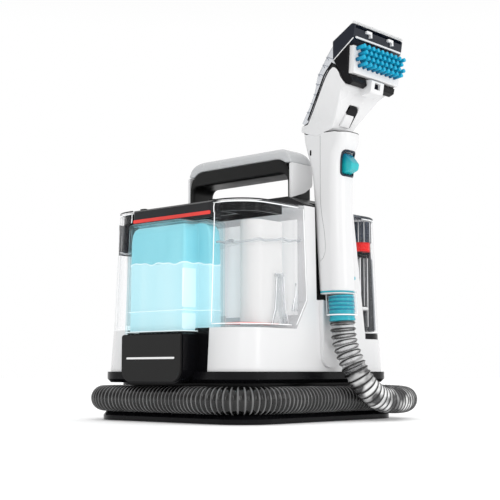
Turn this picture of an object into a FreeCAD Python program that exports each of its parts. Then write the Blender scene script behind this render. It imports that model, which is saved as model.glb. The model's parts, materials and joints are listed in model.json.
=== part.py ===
"""Portable carpet and upholstery cleaner: base unit, two tanks, carry handle, hose and docked hand wand.

Millimetres. +Z is up, the front (nose and badge) faces -Y, and the wand hangs on the +X side.
The origin is the centre of the base plate's underside.
"""

import FreeCAD
import Part
import math
import os

V = FreeCAD.Vector

# ---------------------------------------------------------------- driving dimensions
PLATE_X, PLATE_Y, PLATE_R = 127.0, 144.5, 42.0  # half width, half depth, corner radius of the base
PLATE_EDGE, PLATE_TOP = 5.5, 10.0
CHANNEL_X, CHANNEL_Y, CHANNEL_R = 100.0, 118.0, 30.0  # wall that the wrapped hose goes round
SKIRT_LOW, SKIRT_HIGH = 44.0, 56.5
CASE_TOP = 104.6
REAR_DECK = 96.0  # the rear tank stands lower than the front one
LID_Z = 244.5  # rim of both tanks, and underside of their lids
TOP_Z = 247.5
WALL = 3.0
CLEAR_WALL = 2.5
GAP = 0.4  # clearance between pieces that come apart

NOSE_X, NOSE_Y, NOSE_LOW, NOSE_TOP = 49.5, -161.0, 43.5, 98.5
FRONT_Y = -137.5
PANEL_X = 67.0

HOSE_D = 30.0
HOSE_BORE = 26.0
HOSE_Z = 25.5

DOCK_Y = 12.5  # middle plane of the dock, the wand and the hose's last rise
WAND_HALF = 19.0
WAND_LOW = 149.0
HEAD_HALF = 47.0

HANDLE_X, HANDLE_TOP, GRIP_TOP, GRIP_LOW = 86.2, 323.5, 309.6, 291.0
HANDLE_Y0, HANDLE_Y1 = -19.5, 20.5
CAP_TOP = 261.0

FEET = [(x, y) for x in (-92.0, 92.0) for y in (-108.0, 108.0)]
BASE_SCREWS = [(x, y) for x in (-78.0, 78.0) for y in (-72.0, 72.0)]

BUTTON_X, BUTTON_Y, BUTTON_R = -48.0, 44.0, 11.0  # power switch on the shoulder
RULE_X, RULE_Z, RULE_R = 39.0, 71.5, 1.1  # raised line across the badge

CHANNEL_FLOOR = 103.5  # bottom of the wand's channel in the spine's right side
DOCK_LOW = 139.0
DOCK_Y0, DOCK_Y1 = DOCK_Y - 22.5, DOCK_Y + 22.5
SPINE_SIDE = [(-47, CASE_TOP), (-26.5, 136.5), (-29.5, TOP_Z), (65, TOP_Z), (82.5, CASE_TOP)]
SPINE_INSIDE = [(-40, CASE_TOP), (-23, 136), (-26, TOP_Z - WALL), (62, TOP_Z - WALL), (79, CASE_TOP)]

MOTOR_X, MOTOR_Y = -38.0, 22.0

TANK_FLOOR = CASE_TOP + GAP
FRONT_SIDE = [(-160, TANK_FLOOR), (-48, TANK_FLOOR), (-27.3, 136.8), (-30.3, LID_Z), (-160, LID_Z)]
FRONT_INSIDE = [(-160, TANK_FLOOR + 3), (-49.5, TANK_FLOOR + 3), (-30, 138), (-33, LID_Z), (-160, LID_Z)]
BAY_X, BAY_Y = 68.5, -108.5  # recess in the tank's front for the formula chamber
VALVE_X, VALVE_Y = 20.0, -70.0
CHAMBER_LOW, CHAMBER_HIGH, CHAMBER_WALL = NOSE_TOP + 0.5, 226.0, 2.2
BAR_X, BAR_FRONT, BAR_BACK, BAR_LOW, BAR_TOP = 65.5, -134.0, -119.0, 228.0, 245.5
STRIPE_Z = 233.6
LID_BACK, REAR_LID_FRONT = -30.3, 66.0  # hinge edges of the two lids

REAR_SIDE = [(83.2, REAR_DECK + 7), (160, REAR_DECK + 7), (160, LID_Z), (66.0, LID_Z)]
REAR_INSIDE = [(85.6, REAR_DECK + 10), (160, REAR_DECK + 10), (160, LID_Z), (68.7, LID_Z)]
PIPE_X, PIPE_Y = 96.0, 101.0  # standpipe that also guides the float
FLOAT_Z = 205.0

WAND_SECTIONS = [  # height, back, front and corner radius of the grip's cross-sections
    (WAND_LOW, 114.0, 152.0, 9.0),
    (190.0, 111.0, 149.0, 9.0),
    (235.0, 108.0, 146.0, 9.0),
    (265.0, 106.4, 145.0, 9.0),
    (285.0, 104.4, 145.8, 9.0),
    (300.0, 101.0, 146.6, 9.0),
    (314.0, 95.8, 147.4, 9.0),
    (324.0, 92.6, 149.6, 9.0),
    (333.0, 91.4, 154.0, 9.0),
    (344.0, 91.4, 156.0, 9.0),
]
NECK_LINE = [(60, 350), (91.4, 340.2), (112.5, 331.5), (139.0, 336.0), (146.0, 334.2), (170, 334.2)]
SLEEVE_X, SLEEVE_BORE = 135.0, 16.0  # the wand's lower axis at height 130, and its bore
TRIGGER_X, TRIGGER_Z = 141.0, 307.0
BUTTON_HALF = 9.0  # half width of the head's release button

NECK = [
    (91.8, 340.4),
    (112.5, 331.9, 4),
    (139.0, 338.9, 3),
    (141.5, 344.0, 8),
    (152.5, 359.0, 14),
    (165.0, 377.0, 8),
    (172.5, 381.5, 1),
    (170.5, 394.0, 6),
    (165.0, 402.0, 4),
    (160.6, 407.2),
    (104.8, 350.0),
    (93.5, 346.5, 3),
]
COVER = [
    (93.4, 347.5),
    (104.4, 350.4),
    (161.0, 408.6),
    (161.0, 431.0, 3),
    (153.4, 425.0, 6),
    (133.0, 399.5, 10),
    (120.0, 386.5, 20),
    (97.0, 358.0, 10),
]
BRUSH_LOW, BRUSH_TALL, BRUSH_THICK = V(181.2, DOCK_Y, 391.6), 31.5, 6.8
BRUSH_UP = V(2.0, 0, 31.0).normalize()  # up along the brush plate
BRUSH_OUT = V(BRUSH_UP.z, 0, -BRUSH_UP.x)
TUFT_PITCH, TUFT_ROW, TUFT_R, TUFT_LONG = 8.7, 6.4, 2.3, 12.0

OUTLET_Y, OUTLET_BEND = 108.0, 27.0
HOSE_START_Y = 72.0
ROUTE = [
    (127, HOSE_START_Y, HOSE_Z),
    (127, 40, HOSE_Z),
    (127.5, -8, HOSE_Z),
    (127.5, -58, HOSE_Z),
    (126, -104, HOSE_Z),
    (112, -137, HOSE_Z),
    (80, -148.5, HOSE_Z),
    (36, -147, HOSE_Z),
    (-8, -147.5, HOSE_Z),
    (-50, -147, HOSE_Z),
    (-92, -147.5, HOSE_Z),
    (-121, -130, HOSE_Z),
    (-130, -96, HOSE_Z),
    (-129, -50, HOSE_Z),
    (-130, -2, HOSE_Z),
    (-129, 46, HOSE_Z),
    (-130, 92, HOSE_Z),
    (-121, 130, HOSE_Z),
    (-90, 148.5, HOSE_Z),
    (-46, 147, HOSE_Z),
    (0, 148, HOSE_Z),
    (46, 147, HOSE_Z),
    (94, 150, HOSE_Z),
    (134, 138, HOSE_Z - 1),
    (157, 108, HOSE_Z - 2.5),
    (163, 77, HOSE_Z - 3),
    (162.5, 50, HOSE_Z - 1.5),
    (160, 27, HOSE_Z + 10),
    (153.5, 14.5, HOSE_Z + 30),
    (143, 12.5, HOSE_Z + 53),
    (136.9, 12.5, HOSE_Z + 71),
    (135.9, 12.5, 113.6),
]


# ---------------------------------------------------------------- helpers
def rounded_wire(points, radii):
    """A closed flat wire through the points, each corner rounded to its radius."""
    n = len(points)
    spans = []
    for i, p in enumerate(points):
        if radii[i] == 0:
            spans.append((p, None, p))
            continue
        back = (points[i - 1] - p).normalize()
        ahead = (points[(i + 1) % n] - p).normalize()
        half = back.getAngle(ahead) / 2
        cut = radii[i] / math.tan(half)
        middle = (back + ahead).normalize()
        arc_mid = p + middle * (radii[i] / math.sin(half) - radii[i])
        spans.append((p + back * cut, arc_mid, p + ahead * cut))
    edges = []
    for i, (start, mid, end) in enumerate(spans):
        if mid is not None:
            edges.append(Part.Arc(start, mid, end).toShape())
        following = spans[(i + 1) % n][0]
        if (following - end).Length > 1e-6:
            edges.append(Part.LineSegment(end, following).toShape())
    return Part.Wire(edges)


def prism(points, axis, low, high):
    """An outline of (u, v) or (u, v, radius) corners, pushed from low to high along an axis.

    The outline's u and v are Y and Z for axis x, X and Z for axis y, and X and Y for axis z.
    """
    place = {
        "x": lambda u, v: V(low, u, v),
        "y": lambda u, v: V(u, low, v),
        "z": lambda u, v: V(u, v, low),
    }[axis]
    direction = {"x": V(1, 0, 0), "y": V(0, 1, 0), "z": V(0, 0, 1)}[axis]
    corners = [place(p[0], p[1]) for p in points]
    radii = [p[2] if len(p) > 2 else 0 for p in points]
    return Part.Face(rounded_wire(corners, radii)).extrude(direction * (high - low))


def ring_wire(half_x, half_y, radius, z):
    corners = [V(-half_x, -half_y, z), V(half_x, -half_y, z), V(half_x, half_y, z), V(-half_x, half_y, z)]
    return rounded_wire(corners, [radius] * 4)


def drafted(*sections):
    """A solid through rounded rectangles (half_x, half_y, radius, z), from the lowest up."""
    return Part.makeLoft([ring_wire(*section) for section in sections], True, True)


def box(x0, x1, y0, y1, z0, z1):
    return Part.makeBox(x1 - x0, y1 - y0, z1 - z0, V(x0, y0, z0))


def rod(x, y, z, radius, length, direction=V(0, 0, 1)):
    return Part.makeCylinder(radius, length, V(x, y, z), direction)


def tube(x, y, z, radius, bore, length, direction=V(0, 0, 1)):
    return rod(x, y, z, radius, length, direction).cut(rod(x, y, z, bore, length, direction))


def fuse(shapes):
    return shapes[0].multiFuse(shapes[1:]).removeSplitter()


def both_sides(shape):
    return [shape, shape.mirror(V(0, 0, 0), V(1, 0, 0))]


def rounded(shape, radius, pick):
    return shape.makeFillet(radius, [edge for edge in shape.Edges if pick(edge)])


def along(edge, axis):
    """True for a straight edge parallel to the axis."""
    if edge.Curve.TypeId != "Part::GeomLine":
        return False
    return abs(edge.tangentAt(edge.FirstParameter).dot(axis)) > 0.999


def save(name, shape):
    """Write one node; a list of solids becomes one group."""
    solids = shape if isinstance(shape, list) else [shape]
    parts = [solid for piece in solids for solid in piece.Solids]
    node = parts[0] if len(parts) == 1 else Part.makeCompound(parts)
    if not node.isValid():
        raise RuntimeError(name + " is not valid")
    node.exportStep("parts/" + name + ".step")
    print(f"{name:24s} {len(parts):3d} solid(s) {node.Volume / 1000:9.2f} cm3")


# ---------------------------------------------------------------- base
def base_plate():
    plate = fuse(
        [
            drafted((PLATE_X, PLATE_Y, PLATE_R, 0), (PLATE_X, PLATE_Y, PLATE_R, PLATE_EDGE)),
            drafted(
                (PLATE_X, PLATE_Y, PLATE_R, PLATE_EDGE),
                (PLATE_X - 3.5, PLATE_Y - 3.5, PLATE_R - 3.5, PLATE_TOP),
            ),
        ]
    )
    for x, y in FEET:
        plate = plate.cut(rod(x, y, 0, 12, 3))
    plate = fuse([plate] + [rod(x, y, PLATE_TOP, 5, 14) for x, y in BASE_SCREWS])
    for x, y in BASE_SCREWS:
        plate = plate.cut(rod(x, y, 0, 5, 4)).cut(rod(x, y, 0, 1.9, 30))
    return plate


def foot_pads():
    return [rod(x, y, 0, 12, 3) for x, y in FEET]


def channel_wall():
    wall = drafted(
        (CHANNEL_X, CHANNEL_Y, CHANNEL_R, PLATE_TOP), (CHANNEL_X, CHANNEL_Y, CHANNEL_R, SKIRT_LOW)
    )
    inner_x, inner_y, inner_r = CHANNEL_X - WALL, CHANNEL_Y - WALL, CHANNEL_R - WALL
    wall = wall.cut(
        drafted((inner_x, inner_y, inner_r, PLATE_TOP), (inner_x, inner_y, inner_r, SKIRT_LOW))
    )
    wall = wall.cut(rod(90, OUTLET_Y, HOSE_Z, HOSE_D / 2 + 0.2, 20, V(1, 0, 0)))
    return wall


def base_screws():
    screws = []
    for x, y in BASE_SCREWS:
        head = rod(x, y, 1.2, 4.2, 2.8)
        cross = fuse(
            [
                box(x - 2.4, x + 2.4, y - 0.5, y + 0.5, 1.2, 2.6),
                box(x - 0.5, x + 0.5, y - 2.4, y + 2.4, 1.2, 2.6),
            ]
        )
        screws.append(fuse([head.cut(cross), rod(x, y, 4, 1.9, 16)]))
    return screws


def skirt():
    """Black band over the hose channel; it joins the channel's wall to the casing."""
    band = drafted(
        (PLATE_X - 10.5, PLATE_Y - 5, 36, SKIRT_LOW),
        (PLATE_X - 6.5, PLATE_Y - 1, 40, SKIRT_LOW + 4),
        (PLATE_X - 6.5, PLATE_Y - 1, 40, SKIRT_HIGH),
    )
    low_hole = drafted(
        (CHANNEL_X - WALL, CHANNEL_Y - WALL, 27, SKIRT_LOW), (CHANNEL_X - WALL, CHANNEL_Y - WALL, 27, 48)
    )
    high_hole = drafted((114, 135.5, 37, 48), (114, 135.5, 37, SKIRT_HIGH))
    return band.cut(low_hole).cut(high_hole)


# ---------------------------------------------------------------- casing
def case_block(inset=0.0):
    return drafted(
        (118 - inset, 141 - inset, 40 - inset, SKIRT_HIGH),
        (116.5 - inset, 138 - inset, 40 - inset, CASE_TOP),
    )


def lower_casing():
    room = fuse(
        [
            box(-200, 200, -200, 79, SKIRT_HIGH, CASE_TOP - WALL),
            box(-200, 200, 70, 200, SKIRT_HIGH, REAR_DECK - WALL),
        ]
    )
    shell = case_block().cut(case_block(WALL).common(room))
    shell = shell.cut(box(-PANEL_X, PANEL_X, -150, FRONT_Y + WALL, SKIRT_HIGH, CASE_TOP))
    shell = shell.cut(box(-200, 200, 83, 200, REAR_DECK, CASE_TOP))
    shell = shell.cut(box(-98, 98, -24, 70, REAR_DECK - WALL, CASE_TOP))  # opening under the spine

    def deck_edge(e):
        return abs(e.BoundBox.ZMin - REAR_DECK) < 0.01 and e.BoundBox.ZLength < 0.01 and e.BoundBox.YMin > 84

    return rounded(shell, 1.2, deck_edge)


def front_panel():
    outline = [(-PANEL_X, 46), (PANEL_X, 46), (PANEL_X, CASE_TOP), (-PANEL_X, CASE_TOP)]
    return prism(outline, "y", FRONT_Y, FRONT_Y + WALL).cut(skirt_block())


def skirt_block():
    """The skirt's outside as a plain block, to trim what stands behind it."""
    return drafted(
        (PLATE_X - 6.5, PLATE_Y - 1, 40, SKIRT_LOW), (PLATE_X - 6.5, PLATE_Y - 1, 40, SKIRT_HIGH)
    )


def nose_housing():
    outline = [
        (-NOSE_X, NOSE_LOW, 15), (NOSE_X, NOSE_LOW, 15), (NOSE_X, NOSE_TOP, 2), (-NOSE_X, NOSE_TOP, 2)
    ]
    inside = [
        (-NOSE_X + WALL, NOSE_LOW + WALL, 12),
        (NOSE_X - WALL, NOSE_LOW + WALL, 12),
        (NOSE_X - WALL, NOSE_TOP - WALL, 1),
        (-NOSE_X + WALL, NOSE_TOP - WALL, 1),
    ]
    shell = prism(outline, "y", NOSE_Y, FRONT_Y).cut(prism(inside, "y", NOSE_Y + WALL, FRONT_Y))
    return shell.cut(skirt_block())


def badge_plate():
    outline = [(-47.5, 45.5, 13), (47.5, 45.5, 13), (47.5, 97.5, 2), (-47.5, 97.5, 2)]
    plate = prism(outline, "y", NOSE_Y - 3, NOSE_Y)
    return plate.cut(rule_bar(RULE_X, NOSE_Y - 3, NOSE_Y - 2.7))


def rule_bar(half, front, back):
    """A round-ended bar at the badge rule's height."""
    low, high, radius = RULE_Z - RULE_R, RULE_Z + RULE_R, RULE_R - 0.01
    corners = [(-half, low, radius), (half, low, radius), (half, high, radius), (-half, high, radius)]
    return prism(corners, "y", front, back)


def badge_rule():
    return rule_bar(RULE_X, NOSE_Y - 3.3, NOSE_Y - 2.7)


# ---------------------------------------------------------------- spine between the tanks
def upper_block(inset=0.0):
    """The drafted outside that the spine and both tanks share."""
    return drafted(
        (116.5 - inset, 138 - inset, 40 - inset, REAR_DECK),
        (113.8 - inset, 132.6 - inset, 40 - inset, TOP_Z),
    )


def dock_space(grow=0.0):
    return box(CHANNEL_FLOOR - grow, 140, DOCK_Y0 - grow, DOCK_Y1 + grow, DOCK_LOW - grow, 280)


def spine_casing():
    outer = prism(SPINE_SIDE, "x", -130, 130).common(upper_block())
    inner = prism(SPINE_INSIDE, "x", -130, 130).common(upper_block(WALL))
    return outer.cut(inner.cut(dock_space(WALL))).cut(dock_space())


def dock_liner():
    """Black U-shaped lining of the wand's channel."""
    lined = box(CHANNEL_FLOOR, 113.2, DOCK_Y0, DOCK_Y1, DOCK_LOW, TOP_Z)
    return lined.cut(box(CHANNEL_FLOOR + 1.5, 140, DOCK_Y0 + 1.5, DOCK_Y1 - 1.5, DOCK_LOW + 1.5, TOP_Z))


def dock_hook():
    """Tongue that the wand's back groove hangs on."""
    outline = [(CHANNEL_FLOOR + 1.5, 190), (111.5, 196, 2), (111.5, 214, 2), (CHANNEL_FLOOR + 1.5, 216)]
    return prism(outline, "y", DOCK_Y - 3.5, DOCK_Y + 3.5)


def dock_cradle():
    """Raised pad on the side that steadies the wand's lower end."""
    outline = [
        (DOCK_Y - 18.5, 61, 15),
        (DOCK_Y + 18.5, 61, 15),
        (DOCK_Y + 18.5, DOCK_LOW),
        (DOCK_Y - 18.5, DOCK_LOW),
    ]
    pad = prism(outline, "x", 108, 121.5)
    pad = pad.cut(case_block()).cut(upper_block())
    return pad.cut(rod(134.5, DOCK_Y, 90, 20.5, 60))


def spine_cap():
    """Dark shoulders that rise from the spine's sides to the handle's feet."""
    outline = [
        (-113.2, TOP_Z),
        (113.2, TOP_Z),
        (113.2, TOP_Z + 2),
        (88, CAP_TOP),
        (-88, CAP_TOP),
        (-113.2, TOP_Z + 2),
    ]
    inside = [
        (-110, TOP_Z),
        (110, TOP_Z),
        (110, TOP_Z + 0.5),
        (87, CAP_TOP - WALL),
        (-87, CAP_TOP - WALL),
        (-110, TOP_Z + 0.5),
    ]
    cap = prism(outline, "y", -29, 64.5)
    cap = cap.cut(prism(inside, "y", -26, 61.5).cut(dock_space(WALL))).cut(dock_space())
    return cap.cut(rod(BUTTON_X, BUTTON_Y, 240, BUTTON_R + GAP, 40))


def power_button():
    cap = rod(BUTTON_X, BUTTON_Y, 252, BUTTON_R, CAP_TOP + 3 - 252)
    cap = rounded(cap, 1.2, lambda e: e.BoundBox.ZMin > CAP_TOP + 2.9)
    dish = Part.makeSphere(40, V(BUTTON_X, BUTTON_Y, CAP_TOP + 3 + 39.2))
    return cap.cut(dish)


# ---------------------------------------------------------------- carry handle
def handle_grip():
    outer = [(-83.2, CAP_TOP), (83.2, CAP_TOP), (83.2, GRIP_TOP, 22), (-83.2, GRIP_TOP, 22)]
    inner = [(-78.7, CAP_TOP), (78.7, CAP_TOP), (78.7, GRIP_LOW, 10), (-78.7, GRIP_LOW, 10)]
    arch = prism(outer, "y", HANDLE_Y0, HANDLE_Y1).cut(prism(inner, "y", HANDLE_Y0, HANDLE_Y1))
    return rounded(
        arch,
        4,
        lambda e: along(e, V(1, 0, 0)) and abs(e.BoundBox.ZMin - GRIP_LOW) < 0.01,
    )


def handle_shell():
    outer = [(-HANDLE_X, 280), (HANDLE_X, 280), (HANDLE_X, HANDLE_TOP, 25), (-HANDLE_X, HANDLE_TOP, 25)]
    inner = [(-83.2, 280), (83.2, 280), (83.2, GRIP_TOP, 22), (-83.2, GRIP_TOP, 22)]
    crown = [(HANDLE_Y0, 304), (HANDLE_Y1, 304), (HANDLE_Y1, HANDLE_TOP, 11), (HANDLE_Y0, HANDLE_TOP, 11)]
    arch = prism(outer, "y", HANDLE_Y0, HANDLE_Y1).cut(prism(inner, "y", HANDLE_Y0, HANDLE_Y1))
    return arch.common(prism(crown, "x", -90, 90))


def handle_ends():
    outline = [
        (HANDLE_Y0, 261.3),
        (6, 269.5, 30),
        (HANDLE_Y1, 279, 6),
        (HANDLE_Y1, 303.6, 2),
        (HANDLE_Y0, 303.6, 2),
    ]
    return both_sides(prism(outline, "x", 83.2, HANDLE_X))


# ---------------------------------------------------------------- machinery inside
def suction_motor():
    return fuse(
        [
            rod(MOTOR_X, MOTOR_Y, 112, 38, 62),
            rod(MOTOR_X, MOTOR_Y, 174, 16, 10),
            rod(MOTOR_X, MOTOR_Y, 84, 4, 28),
        ]
    )


def motor_mount():
    ring = tube(MOTOR_X, MOTOR_Y, 106, 42, 5, 6)
    return fuse([ring, box(-95, -78, 14, 30, 106, 112)]).cut(rod(MOTOR_X, MOTOR_Y, 106, 5, 6))


def fan_housing():
    case = rod(MOTOR_X, MOTOR_Y, 72, 44, 34)
    case = case.cut(rod(MOTOR_X, MOTOR_Y, 75, 41, 28))
    return case.cut(rod(MOTOR_X, MOTOR_Y, 72, 14, 3)).cut(rod(MOTOR_X, MOTOR_Y, 103, 5, 3))


def impeller():
    blades = [rod(MOTOR_X, MOTOR_Y, 78, 38, 2), tube(MOTOR_X, MOTOR_Y, 78, 8, 4.06, 20)]
    for i in range(7):
        blade = box(MOTOR_X + 7, MOTOR_X + 37, MOTOR_Y - 0.9, MOTOR_Y + 0.9, 79, 96)
        blade.rotate(V(MOTOR_X, MOTOR_Y, 0), V(0, 0, 1), i * 360 / 7)
        blades.append(blade)
    return fuse(blades).cut(rod(MOTOR_X, MOTOR_Y, 78, 4.06, 20))


def water_pump():
    return fuse(
        [box(30, 74, -8, 26, 72, 104), rod(52, 9, 104, 13, 26), rod(74, 9, 84, 4, 12, V(1, 0, 0))]
    )


def cord_inlet():
    """Strain-relief socket for the mains lead, low at the back."""
    outline = [(-74, 66, 4), (-50, 66, 4), (-50, 84, 4), (-74, 84, 4)]
    return prism(outline, "y", 136.0, 142.0).cut(case_block()).cut(rod(-62, 130, 75, 4.2, 20, V(0, 1, 0)))


# ---------------------------------------------------------------- front (clean water) tank
def clean_tank():
    block = prism(FRONT_SIDE, "x", -130, 130).common(upper_block())
    space = prism(FRONT_INSIDE, "x", -130, 130).common(upper_block(CLEAR_WALL))
    space = space.cut(box(-BAY_X - CLEAR_WALL, BAY_X + CLEAR_WALL, -160, BAY_Y + CLEAR_WALL, 90, 260))
    block = block.cut(space).cut(box(-BAY_X, BAY_X, -160, BAY_Y, 90, 260))
    return block.cut(rod(VALVE_X, VALVE_Y, TANK_FLOOR, 7, 3))


def tank_valve():
    """Spring valve in the tank's floor, with its filter cap."""
    return fuse(
        [
            rod(VALVE_X, VALVE_Y, TANK_FLOOR, 7, 3),
            rod(VALVE_X, VALVE_Y, TANK_FLOOR + 3, 10, 4),
            rod(VALVE_X, VALVE_Y, TANK_FLOOR + 7, 6, 9),
        ]
    )


def chamber_outline(front, half, grow, z):
    """T-shaped outline of the formula chamber: a projecting front and a wider back."""
    wide, step, back = 66.0 + grow, -136.0 - grow, -109.5 + grow
    points = [
        (-half, front),
        (half, front),
        (half, step),
        (wide, step),
        (wide, back),
        (-wide, back),
        (-wide, step),
        (-half, step),
    ]
    radii = [7 + grow, 7 + grow, 2 - grow / 2, 4 + grow, 4 + grow, 4 + grow, 4 + grow, 2 - grow / 2]
    return rounded_wire([V(x, y, z) for x, y in points], radii)


def shoulders(inset):
    """Front view of the chamber: upright sides and rounded upper corners."""
    high = CHAMBER_HIGH - inset
    half = 66.0 - inset
    return prism(
        [(-half, 90), (half, 90), (half, high, 10 - inset), (-half, high, 10 - inset)], "y", -165, -100
    )


def formula_chamber():
    low, high, wall = CHAMBER_LOW, CHAMBER_HIGH, CHAMBER_WALL
    outer = Part.makeLoft(
        [chamber_outline(-162, 49, 0, low), chamber_outline(-157.5, 47.7, 0, high)], True, True
    )
    inner = Part.makeLoft(
        [
            chamber_outline(-159.8, 46.8, -wall, low + wall),
            chamber_outline(-155.3, 45.5, -wall, high - wall),
        ],
        True,
        True,
    )
    narrow = [(-47.8, 90), (47.8, 90), (47.8, high, 10), (-47.8, high, 10)]
    crown = fuse(
        [prism(narrow, "y", -165, -136.0), shoulders(0).common(box(-80, 80, -136.0, -100, 90, 240))]
    )
    foot = prism([(-49.2, 90), (49.2, 90), (49.2, 205), (-49.2, 205)], "y", -165, -136.0)
    outer = outer.common(fuse([crown, foot]))
    inner = inner.common(shoulders(wall))
    under = fuse(
        [
            box(-80, -51, -150, -100, 90, TANK_FLOOR),
            box(51, 80, -150, -100, 90, TANK_FLOOR),
            box(-60, 60, FRONT_Y, -100, 90, TANK_FLOOR),
        ]
    )
    sill = box(-80, 80, FRONT_Y, -100, 90, TANK_FLOOR + wall)
    filler = rod(0, -122, high - wall, 10, wall)
    return outer.cut(inner.cut(sill)).cut(under).cut(filler)


def formula_cap():
    return fuse([rod(0, -122, 223.8, 10, 2.2), rod(0, -122, 221.0, 8, 2.8)])


def lid_block():
    """Outside of both lids, with a small bevel round the top."""
    return drafted((113.9, 132.7, 40, LID_Z), (113.9, 132.7, 40, TOP_Z - 1), (112.6, 131.4, 39, TOP_Z))


def hinge_round(lid, y):
    """Makes a lid's straight edge a half round, which turns on its own centre line."""
    radius = (TOP_Z - LID_Z) / 2 - 0.01
    return rounded(lid, radius, lambda e: along(e, V(1, 0, 0)) and abs(e.BoundBox.YMin - y) < 0.01)


def tank_lid():
    """Clear lid plate over the front tank, with the notch that its bar fills."""
    side = [(-160, LID_Z), (LID_BACK, LID_Z), (LID_BACK, TOP_Z + 1), (-160, TOP_Z + 1)]
    block = hinge_round(prism(side, "x", -130, 130).common(lid_block()), LID_BACK)
    return block.cut(box(-BAR_X, BAR_X, -140, BAR_BACK, 220, 260))


def lid_skirt():
    """Black collar under the lid that drops inside the tank."""
    outer = box(-130, 130, -160, -63.5, 234, LID_Z).common(upper_block(5.2))
    inner = box(-130, 130, -160, -66, 234, LID_Z).common(upper_block(7.7))
    bay = box(-BAY_X - 5, BAY_X + 5, -160, BAY_Y + 5.2, 220, 260)
    inner_bay = box(-BAY_X - 7.5, BAY_X + 7.5, -160, BAY_Y + 7.7, 220, 260)
    return outer.cut(bay).cut(inner.cut(inner_bay))


def lid_bar():
    outline = [(-BAR_X, BAR_FRONT, 5), (BAR_X, BAR_FRONT, 5), (BAR_X, BAR_BACK), (-BAR_X, BAR_BACK)]
    bar = prism(outline, "z", BAR_LOW, TOP_Z)
    lip = prism(
        [(BAR_FRONT - 1, BAR_TOP - 1), (BAR_FRONT - 1, TOP_Z + 1), (BAR_FRONT + 6, TOP_Z + 1)],
        "x",
        -80,
        80,
    )
    hollow = box(-BAR_X + 3, BAR_X - 3, BAR_FRONT + 3, BAR_BACK - 3, BAR_LOW, TOP_Z - 3)
    groove = box(-62, 62, BAR_FRONT - 1, BAR_FRONT + 0.8, STRIPE_Z - 1.25, STRIPE_Z + 1.25)
    return bar.cut(lip).cut(hollow).cut(groove)


def bar_stripe():
    return box(-62, 62, BAR_FRONT - 0.2, BAR_FRONT + 0.8, STRIPE_Z - 1.25, STRIPE_Z + 1.25)


def lid_catches():
    """Two small catches on the lid's top, one at each end of the bar."""
    catch = prism(
        [(BAR_X - 13, -126, 2), (BAR_X - 4, -126, 2), (BAR_X - 4, -120.5, 2), (BAR_X - 13, -120.5, 2)],
        "z",
        TOP_Z,
        TOP_Z + 2.2,
    )
    return both_sides(catch)


def tank_core():
    """Pale moulded wall and funnel inside the front tank."""
    wall = prism(
        [(74, -104, 14), (104, -104, 14), (104, -56, 3), (74, -56, 3)], "z", TANK_FLOOR + 3.2, 226
    )
    hollow = prism(
        [(76.5, -101.5, 11.5), (101.5, -101.5, 11.5), (101.5, -53, 1), (76.5, -53, 1)],
        "z",
        TANK_FLOOR + 3.2,
        226,
    )
    return wall.cut(hollow)


# ---------------------------------------------------------------- rear (recovery) tank
def dirty_tank():
    block = prism(REAR_SIDE, "x", -130, 130).common(upper_block())
    space = prism(REAR_INSIDE, "x", -130, 130).common(upper_block(CLEAR_WALL))
    return block.cut(space)


def dirty_tank_foot():
    outline = [
        (84.2, REAR_DECK + GAP), (160, REAR_DECK + GAP), (160, REAR_DECK + 7), (83.4, REAR_DECK + 7)
    ]
    return prism(outline, "x", -130, 130).common(upper_block(0.8))


def dirty_lid():
    side = [(REAR_LID_FRONT, LID_Z), (160, LID_Z), (160, TOP_Z + 1), (REAR_LID_FRONT, TOP_Z + 1)]
    return hinge_round(prism(side, "x", -130, 130).common(lid_block()), REAR_LID_FRONT)


def standpipes():
    """Inlet and outlet pipes that rise from the recovery tank's floor."""
    return [
        tube(-84.0, 104, REAR_DECK + 10, 13, 11, 88), tube(PIPE_X, PIPE_Y, REAR_DECK + 10, 9.5, 8, 92)
    ]


def separator():
    """Dark baffle box at the back of the recovery tank."""
    outline = [(-58, 92, 8), (52, 92, 8), (52, 116, 4), (104, 116, 6), (104, 150), (-58, 150)]
    inside = [(-55.5, 94.5, 5.5), (49.5, 94.5, 5.5), (49.5, 118.5, 4), (101.5, 118.5, 4), (101.5, 150), (-55.5, 150)]
    block = prism(outline, "z", REAR_DECK + 10, 236).common(upper_block(4.5))
    return block.cut(prism(inside, "z", REAR_DECK + 12.5, 236).common(upper_block(7.0)))


def float_guide():
    rest = FLOAT_Z - 7
    return fuse([tube(PIPE_X, PIPE_Y, rest, 9.4, 2.2, 2.5), tube(PIPE_X, PIPE_Y, rest, 4, 2.2, 40)])


def float_ring():
    return tube(PIPE_X, PIPE_Y, FLOAT_Z, 13, 4.6, 13)


# ---------------------------------------------------------------- hand wand
def wand_loft(inset=0.0, top=0.0):
    """The grip's form, through rounded rectangles of each height."""
    wires = []
    for z, back, front, radius in WAND_SECTIONS:
        y0, y1 = DOCK_Y - WAND_HALF + inset, DOCK_Y + WAND_HALF - inset
        x0, x1 = back + inset, front - inset
        corners = [V(x0, y0, z), V(x1, y0, z), V(x1, y1, z), V(x0, y1, z)]
        wires.append(rounded_wire(corners, [radius - inset] * 4))
    return Part.makeLoft(wires, True, True)


def wand_block():
    """The grip, ended by the shallow V where the head plugs in."""
    below = prism(NECK_LINE + [(170, 100), (60, 100)], "y", -40, 70)
    return wand_loft().common(below)


def wand_inside():
    return wand_loft(2.6).common(box(60, 170, -40, 70, WAND_LOW + 2.5, 327.0))


def groove():
    """Slot in the wand's back that slides down over the dock's hook."""
    return box(90, 113.2, DOCK_Y - 4.5, DOCK_Y + 4.5, WAND_LOW - 1, 222)


def groove_lining():
    return box(100, 115.4, DOCK_Y - 6.6, DOCK_Y + 6.6, WAND_LOW, 224.2)


def split_half():
    """The half-space behind the wand's parting line."""
    return prism([(133, 140), (122.5, 350), (60, 350), (60, 140)], "y", -40, 70)


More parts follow.
